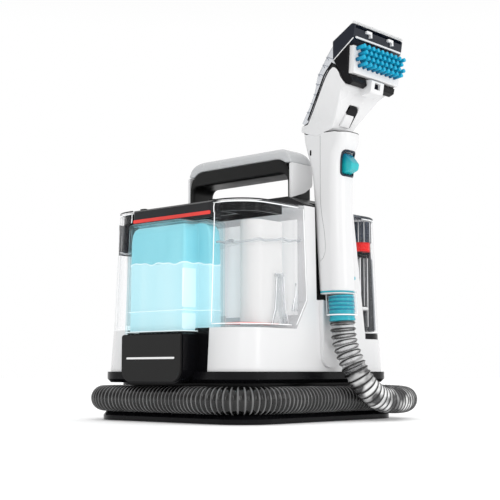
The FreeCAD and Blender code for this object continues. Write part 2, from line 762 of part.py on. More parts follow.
def wand_shells():
    hollow = wand_block().cut(wand_inside().cut(groove_lining())).cut(groove())
    hollow = hollow.cut(rod(134.0, DOCK_Y, 140, SLEEVE_BORE, 12))
    back = hollow.common(split_half())
    front = hollow.cut(split_half()).cut(trigger_window())
    return back, front


def trigger_window():
    outline = [
        (DOCK_Y - 8, 283.5, 3), (DOCK_Y + 8, 283.5, 3), (DOCK_Y + 8, 311.5, 3), (DOCK_Y - 8, 311.5, 3)
    ]
    return prism(outline, "x", 138, 160)


def wand_axis():
    return V(-0.053, 0, 1).normalize()


def wand_point(z):
    """A point on the wand's lower axis."""
    return V(SLEEVE_X - 0.053 * (z - 130), DOCK_Y, z)


def on_wand_axis(radius, bore, low, high):
    axis = wand_axis()
    start = wand_point(low)
    length = (high - low) / axis.z
    shape = Part.makeCylinder(radius, length, start, axis)
    return shape.cut(Part.makeCylinder(bore, length, start, axis)) if bore else shape


def wand_sleeve():
    return on_wand_axis(18.2, 15.8, 121.0, WAND_LOW - 1.3)


def wand_collar():
    """Ribbed swivel collar between the sleeve and the hose."""
    ribs = [on_wand_axis(14.6, 12.0, 114.5, 144.0)]
    ribs += [on_wand_axis(15.2, 12.0, z, z + 2.2) for z in (115.0, 124.5, 129.0, 133.5, 138.0)]
    return fuse(ribs).cut(on_wand_axis(12.0, 0, 113.0, 146.0))


def trigger():
    outline = [
        (137, 309.5, 2),
        (146.5, 310, 2),
        (152, 304, 3),
        (157.5, 297, 3.5),
        (156, 290, 4),
        (145, 286, 3),
        (138.5, 287, 2),
    ]
    lever = prism(outline, "y", DOCK_Y - 7.4, DOCK_Y + 7.4)
    lever = rounded(lever, 1.6, lambda e: e.BoundBox.YLength < 0.01 and e.BoundBox.XMin > 145)
    return lever.cut(rod(TRIGGER_X, DOCK_Y - 10, TRIGGER_Z, 1.55, 20, V(0, 1, 0)))


def trigger_pin():
    return rod(TRIGGER_X, DOCK_Y - 13, TRIGGER_Z, 1.5, 26, V(0, 1, 0))


def spray_valve():
    return fuse([rod(124, DOCK_Y, 286, 8, 26), rod(128, DOCK_Y, 297, 3, 6, V(1, 0, 0))])


# ---------------------------------------------------------------- cleaning head
def head_taper():
    """The head seen from the front: narrow at the neck, wide at the mouth."""
    w = HEAD_HALF
    outline = [
        (DOCK_Y - 19, 325),
        (DOCK_Y + 19, 325),
        (DOCK_Y + 19.5, 342, 40),
        (DOCK_Y + w, 396, 30),
        (DOCK_Y + w, 470),
        (DOCK_Y - w, 470),
        (DOCK_Y - w, 396, 30),
        (DOCK_Y - 19.5, 342, 40),
    ]
    return prism(outline, "x", 60, 230)


def head_housing():
    block = prism(NECK, "y", DOCK_Y - 60, DOCK_Y + 60).common(head_taper())
    inside = [
        (104, 345),
        (118, 340),
        (134, 345),
        (147, 361),
        (160, 379),
        (168, 384),
        (166.5, 392),
        (160, 401.5),
        (110, 350),
    ]
    narrow = [
        (DOCK_Y - 15, 325),
        (DOCK_Y + 15, 325),
        (DOCK_Y + 16, 344),
        (DOCK_Y + 42, 396),
        (DOCK_Y + 42, 470),
        (DOCK_Y - 42, 470),
        (DOCK_Y - 42, 396),
        (DOCK_Y - 16, 344),
    ]
    space = prism(inside, "y", DOCK_Y - 60, DOCK_Y + 60).common(prism(narrow, "x", 60, 230))
    button = box(132, 160, DOCK_Y - BUTTON_HALF - GAP, DOCK_Y + BUTTON_HALF + GAP, 342.5, 365.5)
    return block.cut(space).cut(button)


def head_release():
    outline = [
        (DOCK_Y - BUTTON_HALF, 343),
        (DOCK_Y + BUTTON_HALF, 343),
        (DOCK_Y + BUTTON_HALF, 365, 7),
        (DOCK_Y - BUTTON_HALF, 365, 7),
    ]
    side = [(138.5, 343), (142.0, 343.0, 1), (154.6, 360.4, 3), (156.0, 365), (150.5, 365), (147.0, 360)]
    return prism(outline, "x", 130, 170).common(prism(side, "y", DOCK_Y - 20, DOCK_Y + 20))


def nozzle_cover():
    """Clear back cover over the suction passage, with its cross ribs."""
    block = prism(COVER, "y", DOCK_Y - 60, DOCK_Y + 60).common(head_taper())
    inside = [
        (100.5, 351.5),
        (104.5, 350.6),
        (161.0, 408.8),
        (161.0, 428.0),
        (155.0, 423.0),
        (135.0, 397.5),
        (122, 384.5),
        (99.6, 357.0),
    ]
    narrow = [
        (DOCK_Y - 17.5, 325),
        (DOCK_Y + 17.5, 325),
        (DOCK_Y + 18.5, 346),
        (DOCK_Y + 44.6, 398),
        (DOCK_Y + 44.6, 470),
        (DOCK_Y - 44.6, 470),
        (DOCK_Y - 44.6, 398),
        (DOCK_Y - 18.5, 346),
    ]
    return block.cut(prism(inside, "y", DOCK_Y - 60, DOCK_Y + 60).common(prism(narrow, "x", 60, 230)))


def nozzle_mouth():
    """Dark flattened duct from the cover to the lips."""
    outer = [(161.3, 409.0), (190.5, 431.5, 2), (192.8, 446.0, 2), (188.5, 447.4, 3), (161.3, 431.4)]
    inside = [
        (161.3, 411.8), (188.0, 432.6), (193.5, 445.0), (193.5, 447.5), (188.5, 444.6), (161.3, 428.6)
    ]
    block = prism(outer, "y", DOCK_Y - HEAD_HALF, DOCK_Y + HEAD_HALF)
    return block.cut(prism(inside, "y", DOCK_Y - HEAD_HALF + 2.4, DOCK_Y + HEAD_HALF - 2.4))


def lip_trim():
    """White trim of the mouth: three strips on its upper lip, a bead below, and two small clips."""
    pieces = []
    length = 2 * HEAD_HALF / 3
    for i in range(3):
        y0 = DOCK_Y - HEAD_HALF + i * length + 0.6
        pieces.append(
            prism(
                [(188.8, 447.5), (193.0, 446.2), (194.5, 448.6), (189.4, 450.4, 1)],
                "y",
                y0,
                y0 + length - 1.2,
            )
        )
    bead = prism(
        [(190.8, 430.4), (192.2, 430.4, 0.4), (192.6, 432.2), (191.2, 432.8)],
        "y",
        DOCK_Y - 44,
        DOCK_Y + 44,
    )
    clips = []
    for y in (DOCK_Y - 21, DOCK_Y + 21):
        bent = [
            (y - 5, 439.0),
            (y + 2.2, 439.0),
            (y + 2.2, 435.4),
            (y + 5, 435.4),
            (y + 5, 442.2, 0.8),
            (y - 5, 442.2, 0.8),
        ]
        clips.append(prism(bent, "x", 190.0, 194.4).cut(nozzle_mouth()))
    return pieces + [bead.cut(nozzle_mouth())] + clips


def head_lug():
    """White catch with a square hole, between the two halves of the cassette's lower edge."""
    outline = [
        (174.2, 391.0),
        (180.2, 391.0),
        (183.0, 389.6),
        (190.3, 388.8, 1.5),
        (188.0, 374.5, 2),
        (174.0, 372.5, 1),
        (173.2, 381.6),
    ]
    lug = prism(outline, "y", DOCK_Y - 12, DOCK_Y + 12).cut(head_housing())
    return lug.cut(box(183.5, 195, DOCK_Y - 5.4, DOCK_Y + 5.4, 379.2, 386.4))


def brush_plate():
    """Removable white plate that carries the bristle tufts."""
    top = BRUSH_LOW + BRUSH_UP * BRUSH_TALL
    corners = [BRUSH_LOW, top, top + BRUSH_OUT * BRUSH_THICK, BRUSH_LOW + BRUSH_OUT * BRUSH_THICK]
    corners = [V(c.x, DOCK_Y - HEAD_HALF + 3, c.z) for c in corners]
    return Part.Face(rounded_wire(corners, [0, 0, 1.5, 1.5])).extrude(V(0, 2 * HEAD_HALF - 6, 0))


def bristles():
    """Staggered rows of tufts, level but for a slight rise."""
    tufts = []
    for row in range(4):
        count = 10 if row % 2 else 9
        for i in range(count):
            across = V(0, (i - (count - 1) / 2) * TUFT_PITCH, 0)
            place = BRUSH_LOW + BRUSH_UP * (9.2 + row * TUFT_ROW) + BRUSH_OUT * (BRUSH_THICK - 0.6) + across
            tufts.append(Part.makeCylinder(TUFT_R, TUFT_LONG, place, V(1, 0, 0.1)))
    plate = brush_plate()
    return [tuft.cut(plate) for tuft in tufts]


def brush_cassette():
    """Black block that fills the head's end behind the brush plate, open round the catch."""
    outline = [
        (173.1, 382.0),
        (178.5, 379.6, 2),
        (184.0, 382.5, 1),
        (183.0, 389.5),
        (180.9, 390.9),
        (182.9, 422.4),
        (182.9, 425.2),
        (162.2, 409.2),
        (166.2, 402.6, 4),
        (171.2, 394.4, 6),
    ]
    block = prism(outline, "y", DOCK_Y - 60, DOCK_Y + 60).common(head_taper())
    return block.cut(box(160, 200, DOCK_Y - 13.4, DOCK_Y + 13.4, 370, 391.4)).cut(head_housing())


# ---------------------------------------------------------------- hose
def hose_outlet():
    """Elbow from the channel's wall to the hose's first run."""
    start = V(CHANNEL_X - WALL, OUTLET_Y, HOSE_Z)
    turn = V(100, OUTLET_Y, HOSE_Z)
    end = V(127, OUTLET_Y - OUTLET_BEND, HOSE_Z)
    mid = V(
        100 + OUTLET_BEND * math.sin(math.pi / 4),
        OUTLET_Y - OUTLET_BEND * (1 - math.cos(math.pi / 4)),
        HOSE_Z,
    )
    last = V(127, HOSE_START_Y, HOSE_Z)
    path = Part.Wire(
        [
            Part.LineSegment(start, turn).toShape(),
            Part.Arc(turn, mid, end).toShape(),
            Part.LineSegment(end, last).toShape(),
        ]
    )
    pieces = []
    for radius in (HOSE_D / 2, HOSE_BORE / 2 - 1):
        circle = Part.Wire(Part.makeCircle(radius, start, V(1, 0, 0)))
        pieces.append(path.makePipeShell([circle], True, True))
    return pieces[0].cut(pieces[1])


def hose():
    """Straight runs joined by tangent arcs, as large as the runs allow."""
    points = [V(*p) for p in ROUTE]
    edges = []
    last = points[0]
    length = 0.0
    for i in range(1, len(points) - 1):
        p = points[i]
        back, ahead = points[i - 1] - p, points[i + 1] - p
        reach = 0.45 * min(back.Length, ahead.Length)
        back.normalize()
        ahead.normalize()
        half_turn = (math.pi - back.getAngle(ahead)) / 2
        radius = reach / math.tan(half_turn)
        start, end = p + back * reach, p + ahead * reach
        middle = (back + ahead).normalize()
        mid = p + middle * (radius / math.cos(half_turn) - radius)
        edges.append(Part.LineSegment(last, start).toShape())
        edges.append(Part.Arc(start, mid, end).toShape())
        length += (start - last).Length + edges[-1].Length
        last = end
        print(f"  bend {i:2d}: radius {radius:7.1f} mm, turn {math.degrees(2 * half_turn):5.1f} deg")
    edges.append(Part.LineSegment(last, points[-1]).toShape())
    length += (points[-1] - last).Length
    path = Part.Wire(edges)
    start_dir = (points[1] - points[0]).normalize()
    circle = Part.Wire(Part.makeCircle(HOSE_D / 2, points[0], start_dir))
    body = path.makePipeShell([circle], True, True)
    expected = math.pi * (HOSE_D / 2) ** 2 * length
    print(f"  hose length {length:.0f} mm, volume {body.Volume / expected:.4f} of section times length")
    return body


# ---------------------------------------------------------------- write every node
def main():
    os.makedirs("parts", exist_ok=True)
    back_shell, front_shell = wand_shells()
    nodes = {
        "base_plate": base_plate(),
        "foot_pads": foot_pads(),
        "channel_wall": channel_wall(),
        "base_screws": base_screws(),
        "skirt": skirt(),
        "lower_casing": lower_casing(),
        "front_panel": front_panel(),
        "nose_housing": nose_housing(),
        "badge_plate": badge_plate(),
        "badge_rule": badge_rule(),
        "spine_casing": spine_casing(),
        "spine_cap": spine_cap(),
        "dock_liner": dock_liner(),
        "dock_hook": dock_hook(),
        "dock_cradle": dock_cradle(),
        "power_button": power_button(),
        "handle_grip": handle_grip(),
        "handle_shell": handle_shell(),
        "handle_ends": handle_ends(),
        "suction_motor": suction_motor(),
        "motor_mount": motor_mount(),
        "fan_housing": fan_housing(),
        "impeller": impeller(),
        "water_pump": water_pump(),
        "cord_inlet": cord_inlet(),
        "clean_tank": clean_tank(),
        "tank_valve": tank_valve(),
        "tank_core": tank_core(),
        "formula_chamber": formula_chamber(),
        "formula_cap": formula_cap(),
        "tank_lid": tank_lid(),
        "lid_skirt": lid_skirt(),
        "lid_bar": lid_bar(),
        "bar_stripe": bar_stripe(),
        "lid_catches": lid_catches(),
        "dirty_tank": dirty_tank(),
        "dirty_tank_foot": dirty_tank_foot(),
        "dirty_lid": dirty_lid(),
        "standpipes": standpipes(),
        "separator": separator(),
        "float_guide": float_guide(),
        "float_ring": float_ring(),
        "wand_back_shell": back_shell,
        "wand_front_shell": front_shell,
        "wand_sleeve": wand_sleeve(),
        "wand_collar": wand_collar(),
        "trigger": trigger(),
        "trigger_pin": trigger_pin(),
        "spray_valve": spray_valve(),
        "head_housing": head_housing(),
        "head_release": head_release(),
        "nozzle_cover": nozzle_cover(),
        "nozzle_mouth": nozzle_mouth(),
        "brush_plate": brush_plate(),
        "bristles": bristles(),
        "brush_cassette": brush_cassette(),
        "head_lug": head_lug(),
        "lip_trim": lip_trim(),
        "hose_outlet": hose_outlet(),
        "hose": hose(),
    }
    print(len(nodes), "nodes")
    for name, shape in nodes.items():
        save(name, shape)


if __name__ == "__main__":
    main()
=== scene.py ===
"""Looks of the portable carpet cleaner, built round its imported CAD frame.

Metres, +Z up, front towards -Y; the sections below work in millimetres.
"""

import json
import math

import bmesh
import bpy
import numpy as np
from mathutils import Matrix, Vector


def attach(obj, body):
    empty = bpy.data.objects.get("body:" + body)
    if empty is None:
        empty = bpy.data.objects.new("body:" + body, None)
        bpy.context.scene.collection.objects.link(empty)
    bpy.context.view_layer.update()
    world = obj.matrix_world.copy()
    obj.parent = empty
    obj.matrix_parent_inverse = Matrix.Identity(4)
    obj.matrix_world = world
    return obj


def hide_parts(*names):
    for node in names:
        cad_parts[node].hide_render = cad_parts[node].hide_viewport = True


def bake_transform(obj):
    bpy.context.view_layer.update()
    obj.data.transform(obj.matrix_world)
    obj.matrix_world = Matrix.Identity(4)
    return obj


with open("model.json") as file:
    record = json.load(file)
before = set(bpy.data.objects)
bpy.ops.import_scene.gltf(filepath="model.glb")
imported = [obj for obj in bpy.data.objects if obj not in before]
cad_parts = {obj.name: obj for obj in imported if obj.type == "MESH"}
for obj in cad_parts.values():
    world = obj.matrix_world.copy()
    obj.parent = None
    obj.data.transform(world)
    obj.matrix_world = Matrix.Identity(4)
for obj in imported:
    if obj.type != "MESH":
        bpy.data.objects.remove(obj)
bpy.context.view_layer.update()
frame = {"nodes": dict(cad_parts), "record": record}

MM = 0.001
NODES = frame["nodes"]


# ---- camera, light and floor
CAMERA_PLACE = (0.91573, -1.0145, 0.0561)
CAMERA_AZIMUTH, CAMERA_RISE = 41.98, 6.281  # degrees
CAMERA_LENS = 79.8


def add_object(name, data):
    """A new object in the scene."""
    thing = bpy.data.objects.new(name, data)
    bpy.context.scene.collection.objects.link(thing)
    return thing


def studio():
    """Camera, lights and floor."""
    scene = bpy.context.scene
    camera = add_object("camera", bpy.data.cameras.new("camera"))
    camera.location = CAMERA_PLACE
    camera.rotation_euler = (math.radians(90 + CAMERA_RISE), 0, math.radians(CAMERA_AZIMUTH))
    camera.data.lens = CAMERA_LENS
    camera.data.sensor_width = 36
    camera.data.clip_start = 0.02
    camera.data.clip_end = 60
    scene.camera = camera
    scene.view_settings.view_transform = "Standard"
    scene.cycles.transparent_max_bounces = 32  # the clear tanks have many layers

    world_light()
    floor = plane("floor", 14.0)
    floor.location.z = -0.0004  # just under the feet
    floor.data.materials.append(floor_material())

    soft_box("key", (1.5, -1.3, 1.1), (0.0, 0.0, 0.2), 0.4, 1.3, 6)
    soft_box("side", (1.9, 0.3, 0.8), (0.1, 0.0, 0.2), 0.4, 1.2, 5)
    sun = bpy.data.lights.new("sky_glow", "SUN")
    sun.energy = 0.55
    sun.angle = math.radians(90)
    add_object("sky_glow", sun)


def world_light():
    """White all round, dimmer overhead and towards the front, so that upright and top faces differ."""
    world = bpy.data.worlds.new("studio")
    bpy.context.scene.world = world
    world.use_nodes = True
    tree = world.node_tree
    front = spread(tree, coordinate(tree, "Y", "Generated"), 1.0, 0.0, -0.9, -0.2)
    height = coordinate(tree, "Z", "Generated")
    above = spread(tree, height, 0.0, 0.45, 0.12, 0.35)
    wire(tree.nodes["Background"], {
        "Color": two_tone(tree, height, (1, 1, 1), (0.70, 0.70, 0.70), 0.30, 0.75),
        "Strength": spread(tree, calculate(tree, "MULTIPLY", front, above), 1.0, 0.0, 0.0, 1.0),
    })


def plane(name, size):
    mesh = bpy.data.meshes.new(name)
    h = size / 2
    mesh.from_pydata([(-h, -h, 0), (h, -h, 0), (h, h, 0), (-h, h, 0)], [], [(0, 1, 2, 3)])
    return add_object(name, mesh)


def soft_box(name, place, target, width, height, power):
    lamp = bpy.data.lights.new(name, "AREA")
    lamp.shape = "RECTANGLE"
    lamp.size = width
    lamp.size_y = height
    lamp.energy = power
    box = add_object(name, lamp)
    box.location = place
    box.rotation_euler = (Vector(target) - Vector(place)).to_track_quat("-Z", "Y").to_euler()


# ---- materials
def wire(node, inputs):
    """Feeds a node's inputs, each from another node's output or with a plain value."""
    for name, value in inputs.items():
        if isinstance(value, bpy.types.NodeSocket):
            node.id_data.links.new(value, node.inputs[name])
        else:
            node.inputs[name].default_value = value


def add_node(tree, kind, inputs, **settings):
    """A new shader node, with its settings made and its inputs fed."""
    node = tree.nodes.new("ShaderNode" + kind)
    for name, value in settings.items():
        setattr(node, name, value)
    wire(node, inputs)
    return node


def new_material(name):
    """A fresh node material; returns it, its node tree and its shader."""
    material = bpy.data.materials.new(name)
    material.use_nodes = True
    tree = material.node_tree
    return material, tree, tree.nodes["Principled BSDF"]


def coordinate(tree, axis, space="Object"):
    """One coordinate of the shaded point."""
    place = add_node(tree, "TexCoord", {})
    return add_node(tree, "SeparateXYZ", {0: place.outputs[space]}).outputs[axis]


def calculate(tree, operation, first, second):
    return add_node(tree, "Math", {0: first, 1: second}, operation=operation).outputs["Value"]


def noise(tree, scale, detail=3.0, roughness=0.5):
    """Solid noise in object space, so it needs no unwrap; the scale may be one for each axis."""
    place = add_node(tree, "TexCoord", {}).outputs["Object"]
    if isinstance(scale, tuple):
        place = add_node(tree, "Mapping", {"Vector": place, "Scale": scale}).outputs["Vector"]
        scale = 1.0
    inputs = {"Vector": place, "Scale": scale, "Detail": detail, "Roughness": roughness}
    return add_node(tree, "TexNoise", inputs).outputs["Fac"]


def spread(tree, value, low, high, start=0.3, stop=0.7):
    """Maps start to stop of a value to low to high."""
    inputs = {"Value": value, "From Min": start, "From Max": stop, "To Min": low, "To Max": high}
    return add_node(tree, "MapRange", inputs).outputs["Result"]


def bump(tree, shader, height, strength, distance):
    node = add_node(tree, "Bump", {"Height": height, "Strength": strength, "Distance": distance})
    wire(shader, {"Normal": node.outputs["Normal"]})


def two_tone(tree, value, dark, light, start=0.3, stop=0.7):
    """Colour that goes from dark to light with a value."""
    ramp = add_node(tree, "ValToRGB", {"Fac": value})
    for i, (place, colour) in enumerate(((start, dark), (stop, light))):
        ramp.color_ramp.elements[i].position = place
        ramp.color_ramp.elements[i].color = (*colour, 1)
    return ramp.outputs["Color"]


def mixed(tree, amount, first, second):
    """Blend of two colours by an amount from 0 to 1."""
    inputs = {"Factor": amount, "A": first, "B": second}
    return add_node(tree, "Mix", inputs, data_type="RGBA").outputs["Result"]


def plastic(name, colour, rough, vary=0.04, grain=0.0, coat=0.0, drift=0.04, spec=0.5):
    """Moulded plastic: slightly uneven colour and gloss, with a fine moulded grain where asked."""
    material, tree, shader = new_material(name)
    dark = tuple(c * (1 - drift) for c in colour)
    light = tuple(min(1.0, c * (1 + drift)) for c in colour)
    smear = noise(tree, 55.0, 5.0, 0.6)
    wire(shader, {
        "Base Color": two_tone(tree, noise(tree, 9.0), dark, light),
        "Roughness": spread(tree, smear, rough - vary, rough + vary),
        "Specular IOR Level": spec,
        "Coat Weight": coat,
        "Coat Roughness": 0.08,
    })
    if grain:
        bump(tree, shader, noise(tree, 2500.0, 2.0), grain, 0.0002)
    else:
        bump(tree, shader, noise(tree, 18.0, 1.0), 0.0012, 0.001)
    return material


def see_through(tree, shader, tint, amount):
    """Puts the shader over a see-through one of a given tint; amount 1 is all shader."""
    through = add_node(tree, "BsdfTransparent", {"Color": (*tint, 1)})
    mix = add_node(tree, "MixShader", {0: amount, 1: through.outputs["BSDF"], 2: shader.outputs["BSDF"]})
    wire(tree.nodes["Material Output"], {"Surface": mix.outputs["Shader"]})


def rim(tree, centre, edge, power):
    """Amount that rises from centre, seen face on, to edge, seen edge on."""
    facing = add_node(tree, "LayerWeight", {"Blend": 0.5}).outputs["Facing"]
    return spread(tree, calculate(tree, "POWER", facing, power), centre, edge, 0.0, 1.0)


def clear(name, tint, edge_colour, centre, edge, power=2.5, rough=0.06):
    """Clear moulded plastic: bright when seen face on, paler and glossy towards its edges."""
    material, tree, shader = new_material(name)
    dark = tuple(c * 0.97 for c in edge_colour)
    wire(shader, {
        "Base Color": two_tone(tree, noise(tree, 14.0, 2.0), dark, edge_colour),
        "Roughness": spread(tree, noise(tree, 60.0, 4.0), rough, rough + 0.03),
    })
    bump(tree, shader, noise(tree, 22.0, 1.0), 0.08, 0.001)
    see_through(tree, shader, tint, rim(tree, centre, edge, power))
    return material


def glow(material, colour, strength):
    """A little light of its own, for pale walls deep inside the clear tanks and for the floor."""
    shader = material.node_tree.nodes["Principled BSDF"]
    wire(shader, {"Emission Color": (*colour, 1), "Emission Strength": strength})
    return material


def streaked(name, dark, light, scale, lift):
    """Wall seen through moulded plastic: soft upright streaks of light and shade."""
    material, tree, shader = new_material(name)
    streak = noise(tree, (scale, scale, scale * 0.06), 2.0)
    wire(shader, {"Base Color": two_tone(tree, streak, dark, light), "Roughness": 0.35})
    return glow(material, tuple((a + b) / 2 for a, b in zip(dark, light)), lift)


def shaded(name, low, high, at_low, at_high):
    """Plastic whose colour runs from one height, in metres, to another."""
    material, tree, shader = new_material(name)
    height = spread(tree, coordinate(tree, "Z"), 0.0, 1.0, low, high)
    wire(shader, {
        "Base Color": two_tone(tree, height, at_low, at_high, 0.0, 1.0),
        "Roughness": spread(tree, noise(tree, 60.0, 4.0), 0.22, 0.28),
    })
    return material


def metal(name, colour, rough):
    """Brushed metal, a little uneven in colour and gloss."""
    material, tree, shader = new_material(name)
    brushed = noise(tree, 180.0, 5.0)
    wire(shader, {
        "Metallic": 1.0,
        "Roughness": spread(tree, brushed, rough - 0.06, rough + 0.08),
        "Base Color": two_tone(tree, brushed, tuple(c * 0.9 for c in colour), colour),
    })
    return material


def floor_material():
    material, tree, shader = new_material("studio_floor")
    tone = two_tone(tree, noise(tree, 2.0), (0.985, 0.985, 0.985), (1.0, 1.0, 1.0))
    wire(shader, {"Base Color": tone, "Roughness": 0.95, "Specular IOR Level": 0.05})
    return glow(material, (1.0, 1.0, 1.0), 0.2)


def bristle_material():
    """Nylon tufts with painted shade towards the roots and a painted highlight towards the tips, and fine
    streaks along them.
    """
    material, tree, shader = new_material("bristle_teal")
    along = spread(tree, coordinate(tree, "X"), 0.0, 1.0, 0.188, 0.200)
    wire(shader, {
        "Base Color": two_tone(tree, along, (0.001, 0.07, 0.17), (0.003, 0.38, 0.60), 0.10, 0.9),
        "Roughness": spread(tree, noise(tree, 400.0, 3.0), 0.3, 0.5),
        "Specular IOR Level": 0.25,
    })
    bump(tree, shader, noise(tree, (60.0, 2600.0, 2600.0), 2.0), 0.7, 0.0004)
    return material


WHITE = (0.76, 0.76, 0.765)
BLACK = (0.004, 0.004, 0.005)
MATERIALS = {
    "clear": clear("clear", (0.995, 0.995, 0.997), (0.90, 0.91, 0.92), 0.005, 0.85, 5.0),
    "clear_blue": clear("clear_blue", (0.92, 0.98, 0.99), (0.72, 0.92, 0.95), 0.02, 0.8, 4.0),
    "smoke": clear("smoke", (0.30, 0.32, 0.34), (0.10, 0.11, 0.12), 0.35, 0.8),
    "bristle_teal": bristle_material(),
    "steel": metal("steel", (0.62, 0.62, 0.64), 0.3),
    "motor": metal("motor", (0.45, 0.46, 0.48), 0.4),
}
for name, colour, rough, more in (
    ("white_gloss", WHITE, 0.26, {"vary": 0.006, "coat": 0.15, "drift": 0.004}),
    ("handle_white", (0.56, 0.57, 0.58), 0.26, {"vary": 0.02, "coat": 0.3, "drift": 0.006}),
    ("black_gloss", BLACK, 0.24, {"spec": 0.12}),
    ("black_matte", (0.006, 0.006, 0.007), 0.42, {"grain": 0.2, "spec": 0.12}),
    ("dark_grey", (0.020, 0.020, 0.021), 0.36, {"grain": 0.12, "spec": 0.15}),
    ("badge_grey", (0.017, 0.017, 0.017), 0.4, {"grain": 0.1, "spec": 0.12}),
    ("bar_grey", (0.022, 0.022, 0.024), 0.34, {"grain": 0.1, "spec": 0.15}),
    ("rule_white", (0.85, 0.85, 0.85), 0.4, {}),
    ("stripe_red", (0.88, 0.055, 0.045), 0.35, {"spec": 0.3}),
    ("float_red", (0.80, 0.006, 0.005), 0.4, {"spec": 0.12}),
    ("pale_core", (0.64, 0.64, 0.635), 0.4, {"drift": 0.02, "spec": 0.3}),
    ("rubber", (0.015, 0.015, 0.015), 0.6, {"grain": 0.4, "spec": 0.2}),
    ("teal", (0.010, 0.40, 0.50), 0.25, {"coat": 0.2, "spec": 0.4}),
    ("inner_dark", (0.004, 0.005, 0.010), 0.6, {"spec": 0.04}),
):
    MATERIALS[name] = plastic(name, colour, rough, **more)
# painted glow on everything in the pale core material, so the core deep inside the clear tank looks lit
glow(MATERIALS["pale_core"], (0.9, 0.9, 0.9), 0.13)
GRIP = plastic("grip_black", (0.004, 0.004, 0.004), 0.42, spec=0.25)
NAVY = plastic("window_navy", (0.004, 0.012, 0.028), 0.25, spec=0.4)
# painted shade for the strip inside the rear tank's corner
SHADE_STRIP = plastic("painted_corner_shade", (0.10, 0.115, 0.14), 0.35, spec=0.3)
SEAM_GREY = plastic("seam_grey", (0.26, 0.26, 0.265), 0.4, drift=0.02)
# a darker copy of teal for painted shade, between the collar's rings and on the trigger window's cheeks
SHADED_TEAL = plastic("teal_painted_shade", (0.006, 0.20, 0.32), 0.2, spec=0.4, coat=0.2)
# painted glow on the pale windows of the formula chamber
PALE_PANEL = glow(plastic("pale_panel", (0.88, 0.92, 0.93), 0.4, drift=0.02), (0.9, 1.0, 1.0), 0.15)
WATER = clear("water", (0.97, 0.98, 0.985), (0.72, 0.76, 0.78), 0.10, 0.55, 1.5, 0.03)
# painted streaks of light and shade over the formula's own blue, each with a painted glow
FORMULA = streaked("formula_liquid", (0.56, 0.78, 0.83), (0.78, 0.88, 0.90), 28.0, 0.16)
FORMULA_BACK = streaked("formula_back", (0.25, 0.60, 0.68), (0.42, 0.76, 0.82), 30.0, 0.12)
# painted streaks of light and shade, with a strong painted glow, for the pale wall behind the front tank's
# water
TANK_BACK = streaked("tank_back", (0.52, 0.52, 0.52), (0.88, 0.88, 0.88), 40.0, 0.50)
# painted highlights: bright beads with a painted glow along the edges of clear mouldings
EDGE_HIGHLIGHT = glow(plastic("painted_edge_highlight", (0.86, 0.87, 0.88), 0.2, spec=0.6), (1.0, 1.0, 1.0), 0.25)
GLASSY = clear("clear_fitting", (0.95, 0.96, 0.965), (0.60, 0.62, 0.64), 0.10, 0.9, 1.6, 0.05)


def dress(node, material):
    """Gives a CAD node its finish."""
    slots = NODES[node].data.materials
    slots.clear()
    slots.append(material)


def soften(node, width):
    """Rounds a CAD node's sharp moulded edges a little."""
    edge = NODES[node].modifiers.new("edge", "BEVEL")
    edge.width = width * MM
    edge.segments = 2
    edge.limit_method = "ANGLE"
    edge.angle_limit = math.radians(32)
    edge.use_clamp_overlap = True


SOFT_EDGES = {  # rounding in millimetres
    1.6: "lower_casing",
    1.2: "nose_housing spine_casing spine_cap dock_cradle",
    1.0: "handle_ends clean_tank dirty_tank",
    0.9: "formula_chamber",
    0.8: "badge_plate base_plate tank_core float_ring",
    0.7: "skirt lid_bar tank_lid dirty_lid brush_cassette trigger",
    0.6: "dirty_tank_foot brush_plate head_lug head_release",
    0.5: "lid_catches nozzle_mouth wand_collar",
    0.4: "wand_sleeve",
    0.3: "lip_trim",
}

studio()
for row in frame["record"]["subparts"]:
    if row["material_slot"] in MATERIALS:
        dress(row["node"], MATERIALS[row["material_slot"]])
dress("badge_plate", MATERIALS["badge_grey"])
dress("trigger", shaded("trigger_teal", 0.296, 0.309, (0.012, 0.46, 0.50), (0.004, 0.17, 0.30)))
COVER_CLEAR = clear("cover_clear", (0.86, 0.87, 0.89), (0.55, 0.57, 0.60), 0.06, 0.8, 2.8)
dress("dirty_tank", clear("clear_rear", (0.995, 0.995, 0.997), (0.80, 0.82, 0.84), 0.01, 0.42, 5.0))
dress("tank_valve", MATERIALS["pale_core"])
dress("dirty_lid", clear("lid_smoke", (0.44, 0.46, 0.49), (0.16, 0.17, 0.19), 0.15, 0.8, 3.0))
dress("separator", shaded("separator_grey", 0.196, 0.206, (0.12, 0.125, 0.135), (0.004, 0.007, 0.014)))
dress("nozzle_mouth", plastic("mouth_navy", (0.006, 0.009, 0.018), 0.25, spec=0.3))
for width, nodes in SOFT_EDGES.items():
    for node in nodes.split():
        soften(node, width)


# ---- mesh tools
def add_mesh(name, verts, faces, material, body=None, slot=None, smooth=True):
    """A new piece from points in millimetres; it rides on a body when one is named.

    The material is one of its own, or just the slot's name for the slot's usual material. The slot argument
    is not used.
    """
    if isinstance(material, str):
        slot = material
        material = MATERIALS[slot]
    mesh = bpy.data.meshes.new(name)
    mesh.from_pydata((np.asarray(verts, float) * MM).tolist(), [], faces)
    mesh.update()
    piece = add_object(name, mesh)
    if smooth:
        mesh.shade_smooth()
    mesh.materials.append(material)
    if body:
        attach(piece, body)
    return piece


def loft_mesh(rings, closed_ends=True):
    """Points and faces of a skin over rings that all have the same number of points."""
    count = len(rings[0])
    verts = np.concatenate([np.asarray(ring, float) for ring in rings])
    faces = []
    for i in range(len(rings) - 1):
        for j in range(count):
            k = (j + 1) % count
            faces.append((i * count + j, i * count + k, (i + 1) * count + k, (i + 1) * count + j))
    if closed_ends:
        faces.append(tuple(range(count))[::-1])
        last = (len(rings) - 1) * count
        faces.append(tuple(range(last, last + count)))
    return verts, faces


